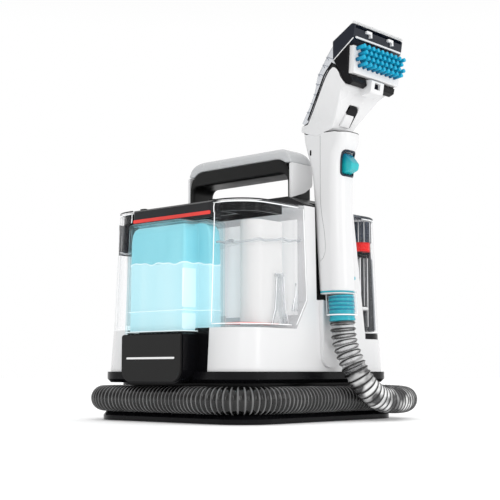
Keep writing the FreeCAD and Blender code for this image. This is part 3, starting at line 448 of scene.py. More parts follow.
def sheet_faces(rows, columns):
    """Faces of an open sheet whose points come row by row."""
    faces = []
    for r in range(rows - 1):
        for i in range(columns - 1):
            a = r * columns + i
            faces.append((a, a + 1, a + columns + 1, a + columns))
    return faces


def rectangle(u0, v0, u1, v1, radius=0):
    """Corners of a rectangle with one radius, anticlockwise."""
    return [(u0, v0, radius), (u1, v0, radius), (u1, v1, radius), (u0, v1, radius)]


def mirrored(corners):
    """Right-hand corners from front to back, then the same on the left from back to front."""
    return corners + [(-x, y, radius) for x, y, radius in reversed(corners)]


def rounded_outline(corners, arc_steps, gap):
    """Closed outline through (u, v, radius) corners, anticlockwise, at steps of about gap."""
    points = []
    n = len(corners)
    for i, (u, v, radius) in enumerate(corners):
        here = np.array((u, v), float)
        back = np.array(corners[i - 1][:2], float) - here
        ahead = np.array(corners[(i + 1) % n][:2], float) - here
        back /= np.linalg.norm(back)
        ahead /= np.linalg.norm(ahead)
        half = math.acos(max(-1.0, min(1.0, float(np.dot(back, ahead))))) / 2
        if radius <= 0:
            points.append(here)
            continue
        middle = (back + ahead) / np.linalg.norm(back + ahead)
        centre = here + middle * radius / math.sin(half)
        start = here + back * radius / math.tan(half) - centre
        end = here + ahead * radius / math.tan(half) - centre
        for t in np.linspace(0, 1, arc_steps + 1):
            swing = start * (1 - t) + end * t
            points.append(centre + swing / np.linalg.norm(swing) * radius)
    filled = []
    for i, point in enumerate(points):
        following = points[(i + 1) % len(points)]
        steps = max(1, int(np.linalg.norm(following - point) // gap))
        filled += [point + (following - point) * k / steps for k in range(steps)]
    return np.array(filled)


def open_outline(corners, arc_steps, gap):
    """The same outline left open: it stops just short of the last corner."""
    points = rounded_outline(corners, arc_steps, gap)
    closing = int(np.linalg.norm(points[0] - corners[-1][:2]) // gap)
    return points[: -closing or None]


def circle(x, y, radius, z, count=32):
    """Points round an upright axis, all at one height."""
    angles = np.linspace(0, 2 * math.pi, count, endpoint=False)
    return np.column_stack([x + radius * np.cos(angles), y + radius * np.sin(angles), np.full(count, z)])


def at_height(outline, z):
    """The outline's (x, y) points at one height, or each at its own."""
    return np.column_stack([outline, np.full(len(outline), z) if np.isscalar(z) else z])


def rings_round(points, u, v, radii, sides):
    """Circles across a line at its points, with u and v as their axes."""
    angles = np.linspace(0, 2 * math.pi, sides, endpoint=False)[None, :, None]
    circles = np.cos(angles) * u[:, None, :] + np.sin(angles) * v[:, None, :]
    return list(points[:, None, :] + circles * np.reshape(radii, (-1, 1, 1)))


def tube_along(points, radius, closed):
    """Points and faces of a thin round bead that follows points in millimetres."""
    points = np.asarray(points, float)
    ahead = np.roll(points, -1, axis=0) - points
    behind = points - np.roll(points, 1, axis=0)
    if not closed:
        ahead[-1] = behind[-1]
        behind[0] = ahead[0]
    ahead /= np.linalg.norm(ahead, axis=1)[:, None]
    behind /= np.linalg.norm(behind, axis=1)[:, None]
    tangents = ahead + behind
    tangents /= np.linalg.norm(tangents, axis=1)[:, None]
    u = np.cross(tangents, (0.13, 0.21, 0.97))  # a direction that no bead runs along
    u /= np.linalg.norm(u, axis=1)[:, None]
    rings = rings_round(points, u, np.cross(tangents, u), radius, 10)
    if closed:
        return loft_mesh(rings + [rings[0]], False)
    return loft_mesh(rings)


def bead(name, points, radius, material, body, slot=None, closed=False):
    """Thin round line along points, such as a seam, a rim or an edge's highlight."""
    verts, faces = tube_along(points, radius, closed)
    return add_mesh(name, verts, faces, material, body, slot)


def highlight_bead(name, points, radius, body="clean_tank"):
    """Painted highlight along an edge of a clear moulding: a bright bead with a painted glow."""
    return bead(name, points, radius, EDGE_HIGHLIGHT, body, "clear")


def bake(piece):
    """Makes what the piece's modifiers show its own mesh."""
    bpy.context.view_layer.update()
    graph = bpy.context.evaluated_depsgraph_get()
    mesh = bpy.data.meshes.new_from_object(piece.evaluated_get(graph))
    piece.modifiers.clear()
    old = piece.data
    piece.data = mesh
    bpy.data.meshes.remove(old)


def cut_away(piece, cutter):
    """Takes the cutter's volume out of the piece, then drops the cutter."""
    step = piece.modifiers.new("cut", "BOOLEAN")
    step.operation = "DIFFERENCE"
    step.solver = "EXACT"
    step.object = cutter
    bake(piece)
    bpy.data.objects.remove(cutter)


def prism_piece(name, outline, axis, low, high, material, body=None, slot=None):
    """Flat-faced solid with an outline of (u, v) points pushed along x, y or z."""
    plan = np.array([point[:2] for point in outline], float)
    rings = [np.insert(plan, "xyz".index(axis), w, axis=1) for w in (low, high)]
    verts, faces = loft_mesh(rings)
    piece = add_mesh(name, verts, faces, material, body, slot, smooth=False)
    clean = bmesh.new()
    clean.from_mesh(piece.data)
    bmesh.ops.recalc_face_normals(clean, faces=clean.faces)
    clean.to_mesh(piece.data)
    clean.free()
    return piece


def smooth_copy(name, node, voxel, rounds):
    """A finely remeshed, softened copy of a CAD node, without a material."""
    piece = add_object(name, NODES[node].data.copy())
    grid = piece.modifiers.new("grid", "REMESH")
    grid.mode = "VOXEL"
    grid.voxel_size = voxel * MM
    ease = piece.modifiers.new("ease", "SMOOTH")
    ease.factor = 0.5
    ease.iterations = rounds
    bake(piece)
    piece.data.shade_smooth()
    piece.data.materials.clear()
    return piece


def stand_in(piece, slot, body, *nodes):
    """Lets a piece take the place of CAD nodes of one body."""
    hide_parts(*nodes)
    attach(piece, body)


def point_values(piece, name, values):
    """Stores a value for each of the mesh's points, for its material to read."""
    channel = piece.data.attributes.new(name, "FLOAT", "POINT")
    channel.data.foreach_set("value", np.asarray(values, np.float32))


# ---- hose
HOSE_RADIUS = 15.0
HOSE_Z = 25.5
HOSE_ROUTE = [
    (127, 72, HOSE_Z), (127, 40, HOSE_Z), (127.5, -8, HOSE_Z), (127.5, -58, HOSE_Z),
    (126, -104, HOSE_Z), (112, -137, HOSE_Z), (80, -148.5, HOSE_Z), (36, -147, HOSE_Z),
    (-8, -147.5, HOSE_Z), (-50, -147, HOSE_Z), (-92, -147.5, HOSE_Z), (-121, -130, HOSE_Z),
    (-130, -96, HOSE_Z), (-129, -50, HOSE_Z), (-130, -2, HOSE_Z), (-129, 46, HOSE_Z),
    (-130, 92, HOSE_Z), (-121, 130, HOSE_Z), (-90, 148.5, HOSE_Z), (-46, 147, HOSE_Z),
    (0, 148, HOSE_Z), (46, 147, HOSE_Z), (94, 150, HOSE_Z), (134, 138, HOSE_Z - 1),
    (157, 108, HOSE_Z - 2.5), (163, 77, HOSE_Z - 3), (162.5, 50, HOSE_Z - 1.5), (160, 27, HOSE_Z + 10),
    (153.5, 14.5, HOSE_Z + 30), (143, 12.5, HOSE_Z + 53), (136.9, 12.5, HOSE_Z + 71), (135.9, 12.5, 113.6),
]
PITCH, PITCH_STRETCHED = 5.9, 7.4  # rib spacing along the base, and where the hose is stretched
STRETCHED = 85.0  # length at the far end over which it is stretched
RIB_DEEP = 1.9
SIDES = 40
HOSE_STEP = 0.85
BEND_FROM_END = (235, 190, 120, 80, 45, 0)  # lengths before the far end where the wall's look changes
BEND_WALL = (0.94, 0.90, 0.62, 0.60, 0.5, 0.16, 0.06)  # how solid it looks, from the start to the far end


def spline_points(points, name):
    """Points in millimetres along a smooth curve guided by the route's points, in order."""
    curve = bpy.data.curves.new(name, "CURVE")
    curve.dimensions = "3D"
    line = curve.splines.new("NURBS")
    line.points.add(len(points) - 1)
    for place, point in zip(line.points, points):
        place.co = (*(c * MM for c in point), 1)
    line.order_u = 3
    line.use_endpoint_u = True
    curve.resolution_u = 24
    guide = add_object(name, curve)
    bpy.context.view_layer.update()
    mesh = bpy.data.meshes.new_from_object(guide)
    found = np.array([v.co[:] for v in mesh.vertices]) / MM
    bpy.data.objects.remove(guide)
    bpy.data.meshes.remove(mesh)
    return found


def even_points(points, step):
    """The same line at even steps, and the length up to each."""
    gaps = np.linalg.norm(np.diff(points, axis=0), axis=1)
    along = np.concatenate([[0], np.cumsum(gaps)])
    wanted = np.linspace(0, along[-1], int(round(along[-1] / step)) + 1)
    return np.stack([np.interp(wanted, along, points[:, i]) for i in range(3)], axis=1), wanted


def frames_along(points):
    """Two unit vectors across the line at each point, turning as little as possible."""
    tangents = np.gradient(points, axis=0)
    tangents /= np.linalg.norm(tangents, axis=1)[:, None]
    across = np.zeros_like(points)
    first = np.cross(tangents[0], (0, 0, 1))
    across[0] = first / np.linalg.norm(first)
    for i in range(1, len(points)):
        kept = across[i - 1] - tangents[i] * np.dot(across[i - 1], tangents[i])
        across[i] = kept / np.linalg.norm(kept)
    return across, np.cross(tangents, across)


def hose_material():
    """Smoked clear hose: painted highlights on its ribs' crests where it lies wound, dark rings on a wall
    with painted highlight patches where it bends.
    """
    material, tree, shader = new_material("hose_smoke")
    rib = add_node(tree, "Attribute", {}, attribute_name="rib").outputs["Fac"]
    wall = add_node(tree, "Attribute", {}, attribute_name="wall").outputs["Fac"]
    tone_and_glint_noise = noise(tree, 62.0, 1.5, 0.4)
    # the pale patches are painted highlights on the bent wall; the light grey crests are painted rib
    # highlights
    pale = two_tone(tree, tone_and_glint_noise, (0.07, 0.07, 0.072), (0.90, 0.90, 0.90), 0.40, 0.60)
    black = two_tone(tree, tone_and_glint_noise, (0.003, 0.003, 0.003), (0.006, 0.006, 0.006))
    wound_rib_highlight = two_tone(tree, tone_and_glint_noise, (0.10, 0.10, 0.102), (0.19, 0.19, 0.192), 0.35, 0.65)
    wound = spread(tree, wall, 0.0, 1.0, 0.66, 0.90)
    between = mixed(tree, wound, pale, black)
    on_rib = mixed(tree, wound, black, wound_rib_highlight)
    edge = spread(tree, rib, 0.0, 1.0, 0.35, 0.85)
    wire(shader, {
        "Base Color": mixed(tree, edge, between, on_rib),
        "Roughness": spread(tree, noise(tree, 90.0, 4.0), 0.13, 0.22),
        "Specular IOR Level": 0.5,
    })
    ribs_solid = spread(tree, rib, 0.0, 0.97, 0.25, 0.6)
    wall_solid = spread(tree, wall, 0.05, 0.97, 0.05, 0.52)
    see_through(tree, shader, (0.94, 0.94, 0.945), calculate(tree, "MAXIMUM", ribs_solid, wall_solid))
    return material


def make_hose():
    line = spline_points(HOSE_ROUTE, "hose_line")
    points, along = even_points(line, HOSE_STEP)
    total = along[-1]
    stretch = np.clip((along - (total - STRETCHED)) / 40.0, 0, 1)
    pitch = PITCH + (PITCH_STRETCHED - PITCH) * stretch
    phase = np.concatenate([[0], np.cumsum(np.diff(along) / pitch[1:])])
    wave = (0.5 + 0.5 * np.cos(2 * math.pi * phase)) ** (1.4 + 0.7 * stretch)
    radii = HOSE_RADIUS - RIB_DEEP * (1 - wave)
    u, v = frames_along(points)
    verts, faces = loft_mesh(rings_round(points, u, v, radii, SIDES))
    hose = add_mesh("hose_ribbed", verts, faces, hose_material())
    wall = np.interp(along, [0] + [total - length for length in BEND_FROM_END], BEND_WALL)
    sharper = 1.0 + 1.6 * (wall > 0.8)  # narrower painted rib highlights where the hose lies wound
    point_values(hose, "rib", np.repeat(wave**sharper, SIDES))
    point_values(hose, "wall", np.repeat(wall, SIDES))
    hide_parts("hose")
    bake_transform(hose)


make_hose()


# ---- front tank: water, walls, fittings and lid
TANK_LOW, RIM_Z = 96.0, 247.5
FLOOR_Z = 108.4
WATER_Z = 203.5


def tank_half(z):
    """Half width and half depth of the tanks' drafted outside at a height."""
    t = (z - TANK_LOW) / (RIM_Z - TANK_LOW)
    return 116.5 - 2.7 * t, 138.0 - 5.4 * t


def tank_outline(z, inset):
    """The inside of the front tank at a height, with the notch for the formula chamber."""
    x, y = tank_half(z)
    x, y = x - inset, y - inset
    back = np.interp(z, [107.6, 138.0, 244.5], [-49.5, -30.0, -33.0]) - 0.6
    r = 40.0 - inset
    notch_x, notch_y = 71.6, -105.4
    corners = mirrored([(notch_x, notch_y, 0), (notch_x, -y, 0), (x, -y, r), (x, back, 2)])
    return rounded_outline(corners, 10, 4.0)


def water_level(x, y):
    """Wavy surface that leans a little, as after a move."""
    lean = 0.07 * (y + 70)
    waves = 1.3 * np.sin(x * 0.11 + 0.6) + 1.1 * np.sin(y * 0.16) + 0.7 * np.sin((x + y) * 0.31)
    return WATER_Z + lean + waves


def make_water():
    """The water's surface and the line where it meets the walls; clear water below needs no skin."""
    top = tank_outline(WATER_Z, 3.1)
    line = at_height(top, water_level(top[:, 0], top[:, 1]))
    add_mesh("clean_water", line, [tuple(range(len(line)))], WATER, "clean_tank", "clear", smooth=False)
    bead("water_line", line, 1.25, GLASSY, "clean_tank", "clear", closed=True)


def make_tank_liner():
    """Pale wall behind the water."""
    plan = [(71.0, -103.5), (-108.0, -103.5), (-108.0, -36.5), (109.0, -36.5), (109.0, -54.0)]
    verts, faces = [], []
    for x, y in plan:
        verts += [(x, y, 112.5), (x, y, 231.0)]
    for i in range(1, len(plan) - 2):
        faces.append((2 * i, 2 * i + 1, 2 * i + 3, 2 * i + 2))
    # the pale wall carries painted streaks of light and shade and a painted glow
    add_mesh("tank_back", verts, faces, TANK_BACK, "clean_tank", "pale_core", smooth=False)


def make_tank_edges():
    """Painted highlights along the front tank's foot, notch and back edges."""
    x, y = tank_half(FLOOR_Z + 1)
    foot = open_outline([(70, -y, 0), (x, -y, 39.0), (x, -50, 0)], 14, 6.0)
    highlight_bead("tank_foot_line", at_height(foot, FLOOR_Z + 0.4), 0.6)
    notch = [(69.6, -tank_half(z)[1] - 0.05, z) for z in np.linspace(FLOOR_Z + 2, 233.0, 24)]
    highlight_bead("tank_notch_line", notch, 0.55)
    back = []
    for z in (109, 120, 130, 138, 160, 200, 243):
        back.append((tank_half(z)[0] - 0.2, np.interp(z, [107.6, 138.0, 244.5], [-48.2, -28.2, -31.0]), z))
    highlight_bead("tank_back_line", back, 0.6)
    # painted shade: a dark sheet just inside the front tank's left side, seen through its clear wall
    side = rectangle(-124.0, 197.0, -66.0, 234.0)
    prism_piece("tank_side_shade", side, "x", -100.0, -99.4, "inner_dark", "clean_tank")


def oval_tower(name, x, y, sections):
    """Clear moulded tower through ovals (height, half x, half y, shift in y)."""
    angles = np.linspace(0, 2 * math.pi, 28, endpoint=False)
    rings = []
    for z, half_x, half_y, shift in sections:
        oval = np.column_stack([x + half_x * np.cos(angles), y + shift + half_y * np.sin(angles)])
        rings.append(at_height(oval, z))
    verts, faces = loft_mesh(rings)
    add_mesh(name, verts, faces, GLASSY, "clean_tank", "clear")


def make_intake():
    """Intake tower and fin at the front tank's right, with painted highlights along their edges."""
    tower = [
        (FLOOR_Z, 4.2, 14.5, 0),
        (118, 3.8, 12.0, 0),
        (126, 3.6, 8.6, 0),
        (150, 3.2, 6.6, 0),
        (163, 3.0, 5.8, -0.6),
        (163.2, 3.4, 7.4, -0.6),
        (166.5, 3.2, 7.0, -0.6),
    ]
    oval_tower("intake_tower", 107.6, -66.0, tower)
    fin = [(125, 2.6, 5.0, 0), (134, 2.2, 4.2, 1), (144, 1.8, 2.2, 3), (157, 1.0, 0.7, 2)]
    oval_tower("intake_fin", 107.0, -39.0, fin)
    for sign in (-1, 1):
        widths = ((110, 14.0), (118, 12.0), (126, 8.6), (150, 6.6), (163, 6.0))
        highlight_bead("intake_line_%d" % sign, [(108.2, -66 + sign * y, z) for z, y in widths], 0.45)
    cap = [(108.2, -73.6, 163.4), (108.2, -73.2, 166.4), (108.2, -60.0, 166.4), (108.2, -59.6, 163.4)]
    highlight_bead("intake_top", cap, 0.4)
    front = [(108.0, -44.0, 125), (108.0, -42.0, 134), (107.6, -38.4, 144), (107.2, -37.2, 156)]
    highlight_bead("fin_line", front, 0.45)


def make_floor_seal():
    ring = rounded_outline([(70, -122, 12), (104, -122, 14), (104, -58, 8), (70, -58, 8)], 6, 5.0)
    bead("floor_seal", at_height(ring, FLOOR_Z + 1.2), 0.9, "float_red", "clean_tank", closed=True)


def make_lid_lines():
    """Dark line under the front lid's rim, and a painted highlight along the edge of its skirt, on both
    sides.
    """
    x, y = 113.2, 132.1
    half = open_outline([(67, -y, 0), (x, -y, 39.5), (x, -34, 0)], 14, 6.0)
    shoulder = [(68.2, -y - 0.6, 233.0), (67.6, -y - 0.3, 239.0), (68.2, -y, 243.0)]
    route = np.array(shoulder + [tuple(p) for p in at_height(half, 243.9)])
    for side, tag in ((1, "r"), (-1, "l")):
        bead("lid_line_" + tag, at_height(half * (side, 1), RIM_Z - 0.5), 0.75, "black_gloss", "clean_lid")
        highlight_bead("lid_edge_" + tag, route * (side, 1, 1), 0.6, "clean_lid")


def make_stripe():
    """The lid bar's red stripe with rounded ends, a little taller than its groove."""
    corners = np.array([v.co[:] for v in NODES["bar_stripe"].data.vertices]) / MM
    x0, y0, z0 = corners.min(axis=0) - (1.5, 0, 0.8)
    x1, y1, z1 = corners.max(axis=0) + (1.5, 0, 0.8)
    outline = rounded_outline(rectangle(x0, z0, x1, z1, 1.5), 5, 20.0)
    stripe = prism_piece("stripe_face", outline, "y", y0, y1, MATERIALS["stripe_red"])
    stand_in(stripe, "stripe_red", "clean_lid", "bar_stripe")


# ---- rear tank: pipes, float cage and rims
PIPE_X, PIPE_Y = 96.0, 101.0
CORNER = 39.0  # radius of the tanks' corners


def on_pipe(radius, turn):
    """Place at a distance and a turn, in degrees, round the float's pipe."""
    a = math.radians(turn)
    return PIPE_X + radius * math.cos(a), PIPE_Y + radius * math.sin(a)


def make_pipe_lines():
    """Highlights along the two nested pipes."""
    for i, turn in enumerate((42, 222, 312, 132)):
        outer, inner = on_pipe(9.9, turn), on_pipe(5.5, turn)
        highlight_bead("pipe_line_%d" % i, [(*outer, 112.0), (*outer, 197.0)], 0.5, "dirty_tank")
        highlight_bead("pipe_inner_%d" % i, [(*inner, 138.0), (*inner, 197.0)], 0.35, "dirty_tank")


def make_float_cage():
    """Dark open ring that the float rises into, with painted highlights down its front."""
    low, high = 216.0, 241.5
    section = ((14.7, low), (14.7, high), (13.9, high), (13.9, low), (14.7, low))
    verts, faces = loft_mesh([circle(PIPE_X, PIPE_Y, r, z) for r, z in section], closed_ends=False)
    add_mesh("float_cage", verts, faces, NAVY, "dirty_tank", "inner_dark", smooth=False)
    for i, turn in enumerate((-58, -30, 8)):
        place = on_pipe(14.8, turn)
        highlight_bead("cage_line_%d" % i, [(*place, low), (*place, high - 0.5)], 0.3, "dirty_tank")


def make_rear_shade():
    """Smoke-grey strip of painted shade just inside the rear tank's right corner."""
    out = CORNER - 3.4
    verts = []
    for z in np.linspace(108.0, 196.0, 9):
        x, y = tank_half(z)
        for turn in np.radians(np.linspace(18, 66, 9)):
            verts.append((x - CORNER + out * math.cos(turn), y - CORNER + out * math.sin(turn), z))
    add_mesh("rear_corner_shade", verts, sheet_faces(9, 9), SHADE_STRIP, "dirty_tank", "inner_dark")


def rear_line(name, z, inset, start, radius, material, body, slot=None):
    """Line round the rear tank's sides and back, from start in y."""
    x, y = tank_half(z)
    x, y = x - inset, y - inset
    plan = rounded_outline([(-x, start, 0), (x, start, 0), (x, y, CORNER), (-x, y, CORNER)], 12, 8.0)
    bead(name, at_height(plan[plan[:, 1] > start + 0.5], z), radius, material, body, slot)


def make_rear_rims():
    # painted highlights along the rear tank's foot and rim, and a dark line round its lid
    rear_line("rear_foot_line", 104.4, 0.4, 88.0, 0.6, EDGE_HIGHLIGHT, "dirty_tank", "clear")
    rear_line("rear_rim_line", 243.4, 0.4, 72.0, 0.55, EDGE_HIGHLIGHT, "dirty_tank", "clear")
    rear_line("rear_lid_line", 246.4, 1.4, 72.0, 0.7, "black_gloss", "dirty_lid")


make_stripe()
make_water()
make_tank_liner()
make_tank_edges()
make_pipe_lines()
make_float_cage()
make_rear_shade()
bead("pipe_foot", circle(PIPE_X, PIPE_Y, 8.6, 134.0), 2.3, "rule_white", "dirty_tank", closed=True)
make_rear_rims()
make_intake()
make_floor_seal()
make_lid_lines()


# ---- formula chamber: tinted liquid and level window
def chamber_outline(z, inset):
    """The chamber's T-shaped plan at a height: a projecting front and a wider back."""
    t = (z - 99.0) / 127.0
    front = -162 + 4.5 * t + inset
    half = 49 - 1.3 * t - inset
    wide, step, back = 66.0 - inset, -136.0 + inset, -109.5 - inset
    corners = mirrored([(half, front, 7 - inset), (half, step, 1.5), (wide, step, 3), (wide, back, 3)])
    return rounded_outline(corners[-1:] + corners[:-1], 5, 3.0)


def shrunk(outline, inset):
    """The chamber's plan drawn in on every side, for its rounded shoulders."""
    middle = np.array([0.0, -134.0])
    half = np.array([64.0, 26.0])
    return middle + (outline - middle) * (1 - inset / half)


def make_formula():
    """Liquid and the tinted space above it up to the rounded shoulders, both with painted streaks of light
    and shade and a painted glow, and a painted highlight along the line between them.
    """
    plan = chamber_outline(175.0, 4.0)
    x, y = plan[:, 0], plan[:, 1]
    level = 178.0 - 0.035 * (x + 10) + 0.9 * np.sin(x * 0.17) + 0.7 * np.sin((x - y) * 0.33)
    surface = at_height(plan, level)
    verts, faces = loft_mesh([at_height(shrunk(plan, -0.6), 101.8), at_height(plan, 150.0), surface])
    add_mesh("formula_liquid", verts, faces, FORMULA, "clean_tank", "clear_blue", smooth=False)
    upper = [surface + (0, 0, 0.3)]
    for z, draw_in in ((205.0, 0.0), (214.0, 0.8), (219.0, 3.0), (221.5, 6.5), (222.5, 12.0)):
        upper.append(at_height(shrunk(plan, draw_in + 0.02 * (z - 175.0)), z))
    verts, faces = loft_mesh(upper)
    add_mesh("formula_tint", verts, faces, FORMULA_BACK, "clean_tank", "clear_blue", smooth=False)
    bead("formula_line", surface + (0, 0, 0.2), 0.8, EDGE_HIGHLIGHT, "clean_tank", "clear", closed=True)


def make_chamber_details():
    """Pale windows with a painted glow on the chamber's right side, and painted highlights along its floor
    and foot.
    """
    for name, low, high in (("level_window", 127.5, 171.0), ("foot_window", 103.5, 121.0)):
        outline = rounded_outline(rectangle(-158, low, -137.4, high, 1.5), 4, 4.0)
        prism_piece(name, outline, "x", 44.2, 45.2, PALE_PANEL, "clean_tank", "pale_core")
    for name, z, inset in (("formula_floor", 124.0, 3.4), ("formula_foot", 101.0, 0.6)):
        line = at_height(chamber_outline(z, inset), z + 0.3)
        bead(name, line, 0.6, EDGE_HIGHLIGHT, "clean_tank", "clear", closed=True)


make_formula()
make_chamber_details()


# ---- skirt
def make_skirt_lip():
    """Turned-in lip under the skirt, just over the hose's top; its black also stands in for the shade under
    the skirt.
    """
    outer = rounded_outline(rectangle(-108, -124, 108, 124, 30), 10, 30.0)
    inner = rounded_outline(rectangle(-103, -119, 103, 119, 26), 10, 30.0)
    lip = prism_piece("skirt_lip", outer, "z", 40.9, 43.6, "black_gloss")
    cut_away(lip, prism_piece("skirt_lip_hole", inner, "z", 38, 46, NAVY))
    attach(lip, "root")


make_skirt_lip()


# ---- wand
DOCK_Y = 12.5
WAND_LOW, WAND_TOP = 149.0, 334.0
WAND_HALF = 18.8
WAND_FORM = [  # height, back, front, front corner radius
    (149, 114.0, 148.8, 16.0), (173, 112.2, 148.2, 16.0), (200, 110.4, 147.2, 16.0),
    (230, 108.4, 146.4, 16.0), (265, 106.6, 146.2, 16.0), (285, 104.6, 146.4, 16.0),
    (298, 101.6, 146.8, 16.0), (308, 98.2, 147.6, 15.5), (316, 95.4, 151.0, 14.5),
    (322, 93.4, 154.4, 14.0), (328, 92.2, 155.2, 14.0), (334, 91.6, 154.6, 14.0),
    (350, 91.6, 154.0, 14.0),
]
NECK_TOP = ([60, 91.4, 112.5, 139, 146, 170], [350, 340.0, 331.3, 335.8, 334.0, 334.0])  # x, height


def wand_size(z):
    """Back, front and front corner radius at a height, smoothed over a few millimetres."""
    heights = np.linspace(-4, 4, 9) + np.clip(z, WAND_LOW + 4, 346)
    table = np.array(WAND_FORM, float)
    return [float(np.mean(np.interp(heights, table[:, 0], table[:, i]))) for i in (1, 2, 3)]


def wand_outline(z, grow=0.0):
    """The wand's plan at a height, grown or drawn in on every side."""
    back, front, radius = wand_size(z)
    y0, y1 = DOCK_Y - WAND_HALF - grow, DOCK_Y + WAND_HALF + grow
    corners = [
        (back - grow, y0, 7.5 + grow),
        (front + grow, y0, radius + grow),
        (front + grow, y1, radius + grow),
        (back - grow, y1, 7.5 + grow),
    ]
    return rounded_outline(corners, 12, 40.0)


def wand_front_at(y, z):
    """How far forward the wand's surface is at a place on its front."""
    _, front, radius = wand_size(z)
    off = max(0.0, abs(y - DOCK_Y) - (WAND_HALF - radius))
    return front - radius + math.sqrt(max(0.0, radius**2 - off**2))


def ring_on_front(half_y, low, high, radius):
    """Rounded rectangle laid on the wand's front."""
    outline = rounded_outline(rectangle(DOCK_Y - half_y, low, DOCK_Y + half_y, high, radius), 6, 1.5)
    return np.array([(wand_front_at(y, z), y, z) for y, z in outline])


def ring_on_axis(z, radius, count=40):
    """Circle round the wand's lower axis, which leans back a little."""
    return circle(135.0 - 0.053 * (z - 130.0), DOCK_Y, radius, z, count)


def make_wand():
    """The wand's body in one skin, with its back groove, trigger window and well cut out."""
    rings = []
    for t in np.concatenate([[0.0, 0.004, 0.010], np.linspace(0.02, 1.0, 66)]):
        grow = -1.2 * max(0.0, 1 - t / 0.010) ** 2
        outline = wand_outline(WAND_LOW + t * (WAND_TOP - WAND_LOW), grow)
        top = np.interp(outline[:, 0], *NECK_TOP)
        rings.append(at_height(outline, WAND_LOW + t * (top - WAND_LOW)))
    verts, faces = loft_mesh(rings)
    body = add_mesh("wand_body", verts, faces, MATERIALS["white_gloss"])
    window = rounded_outline(rectangle(DOCK_Y - 11, 284, DOCK_Y + 11, 312.5, 3), 5, 8.0)
    for name, outline, low, high in (
        ("groove", rectangle(DOCK_Y - 4.5, 140, DOCK_Y + 4.5, 222), 85, 113.6),
        ("window_cut", window, 137.5, 170),
        ("well", rectangle(DOCK_Y - 8.2, 284, DOCK_Y + 8.2, 312.5), 128, 138),
    ):
        cut_away(body, prism_piece(name, outline, "x", low, high, NAVY))
    body.data.shade_smooth()
    body.data.set_sharp_from_angle(angle=math.radians(40))
    stand_in(body, "white_gloss", "wand", "wand_back_shell", "wand_front_shell")


def make_window_details():
    """Dark frame of the trigger window, and the teal cheeks beside the trigger, darkened with painted
    shade.
    """
    ring = ring_on_front(11.2, 283.8, 312.7, 3.4)
    bead("window_frame", ring, 1.25, NAVY, "wand", "black_gloss", closed=True)
    for side, tag in ((-1, "l"), (1, "r")):
        near, far = sorted((DOCK_Y + side * 7.9, DOCK_Y + side * 10.6))
        outline = rounded_outline(rectangle(near, 285.2, far, 311.2, 1), 3, 8.0)
        prism_piece("window_cheek_" + tag, outline, "x", 137.7, 142.4, SHADED_TEAL, "wand", "teal")


def make_wand_seams():
    """Joint between the wand's two shells, swinging forward low down, on both sides."""
    seam = [(119.6 - 0.005 * (333 - z), z) for z in np.linspace(333, 262, 24)]
    seam += [(119.9, 250), (121.4, 238), (123.6, 226), (125.4, 214)]
    seam += [(126.4, 202), (125.8, 194), (123.0, 188), (118.6, 184)]
    for side, tag in ((1, "l"), (-1, "r")):
        y = DOCK_Y - side * (WAND_HALF + 0.02)
        bead("wand_seam_" + tag, [(x, y, z) for x, z in seam], 0.22, SEAM_GREY, "wand", "pale_core")


def make_wand_bands():
    """Dark gap at the neck, and the teal and white rings under the wand's foot."""
    neck = wand_outline(WAND_TOP, -0.25)
    gap = at_height(neck, np.interp(neck[:, 0], *NECK_TOP) + 0.1)
    bead("neck_gap", gap, 0.55, "black_gloss", "wand", closed=True)
    for name, slot, inset, drop in (("wand_ring", "teal", 1.0, 0.6), ("wand_hem", "white_gloss", 1.4, 2.4)):
        ring = at_height(wand_outline(WAND_LOW, -inset), WAND_LOW - drop)
        bead(name, ring, 0.9, slot, "wand", closed=True)


def make_wand_marks():
    """Dark slots in the wand's flanks and the teal dot low on its front."""
    outline = rounded_outline(rectangle(103.9, 310.4, 106.3, 317.2, 1.1), 4, 8.0)
    left, right = DOCK_Y - WAND_HALF, DOCK_Y + WAND_HALF
    for name, y0, y1 in (("slot_l", left - 0.1, left + 1), ("slot_r", right - 1, right + 0.1)):
        prism_piece(name, outline, "y", y0, y1, "black_gloss", "wand")
    y, z = 21.4, 164.2
    turns = np.linspace(0, 2 * math.pi, 20, endpoint=False)
    dot = [(y + 1.3 * math.cos(a), z + 1.9 * math.sin(a)) for a in turns]
    prism_piece("wand_dot", dot, "x", 142.0, wand_front_at(y, z) + 0.35, "teal", "wand")


def make_collar_details():
    """Painted shadow lines between the collar's rings, and painted highlights along the hem and ribs of its
    clear sleeve.
    """
    for i, z in enumerate((121.6, 127.7, 132.2, 136.7, 141.6)):
        bead("collar_shade_%d" % i, ring_on_axis(z, 14.7), 0.95, SHADED_TEAL, "collar", "teal", closed=True)
    hem = ring_on_axis(121.6, 17.2)
    highlight_bead("sleeve_hem", np.vstack([hem, hem[:1]]), 0.75, "wand")
    low, high = ring_on_axis(121.6, 17.6, 60), ring_on_axis(146.5, 17.6, 60)
    for i in (7, 37):
        highlight_bead("sleeve_rib_%d" % i, [low[i], high[i]], 0.5, "wand")


make_wand()
make_window_details()
make_wand_seams()
make_wand_bands()
make_wand_marks()
make_collar_details()


# ---- cleaning head
BLACK_PANEL = [  # (x, z) outline of the flanks' black part
    (159.1, 408.4), (192, 431), (192, 420), (184.5, 388), (173.9, 381.6), (171.1, 384.6), (169.0, 389.6),
    (168.3, 394.6), (166.4, 398.2), (163.6, 400.8), (160.6, 401.6), (156.0, 398.8), (140.0, 383.2),
    (118.0, 360.8), (104.0, 347.4), (96.0, 346.4), (104.0, 349.6),
]
COVER_SECTION = [  # share of the way out from the seam, share of the half width
    (0, -1), (0.6, -1), (0.9, -0.96), (1, -0.88), (1, -0.4), (1, 0),
    (1, 0.4), (1, 0.88), (0.9, 0.96), (0.6, 1), (0, 1), (0, 0),
]


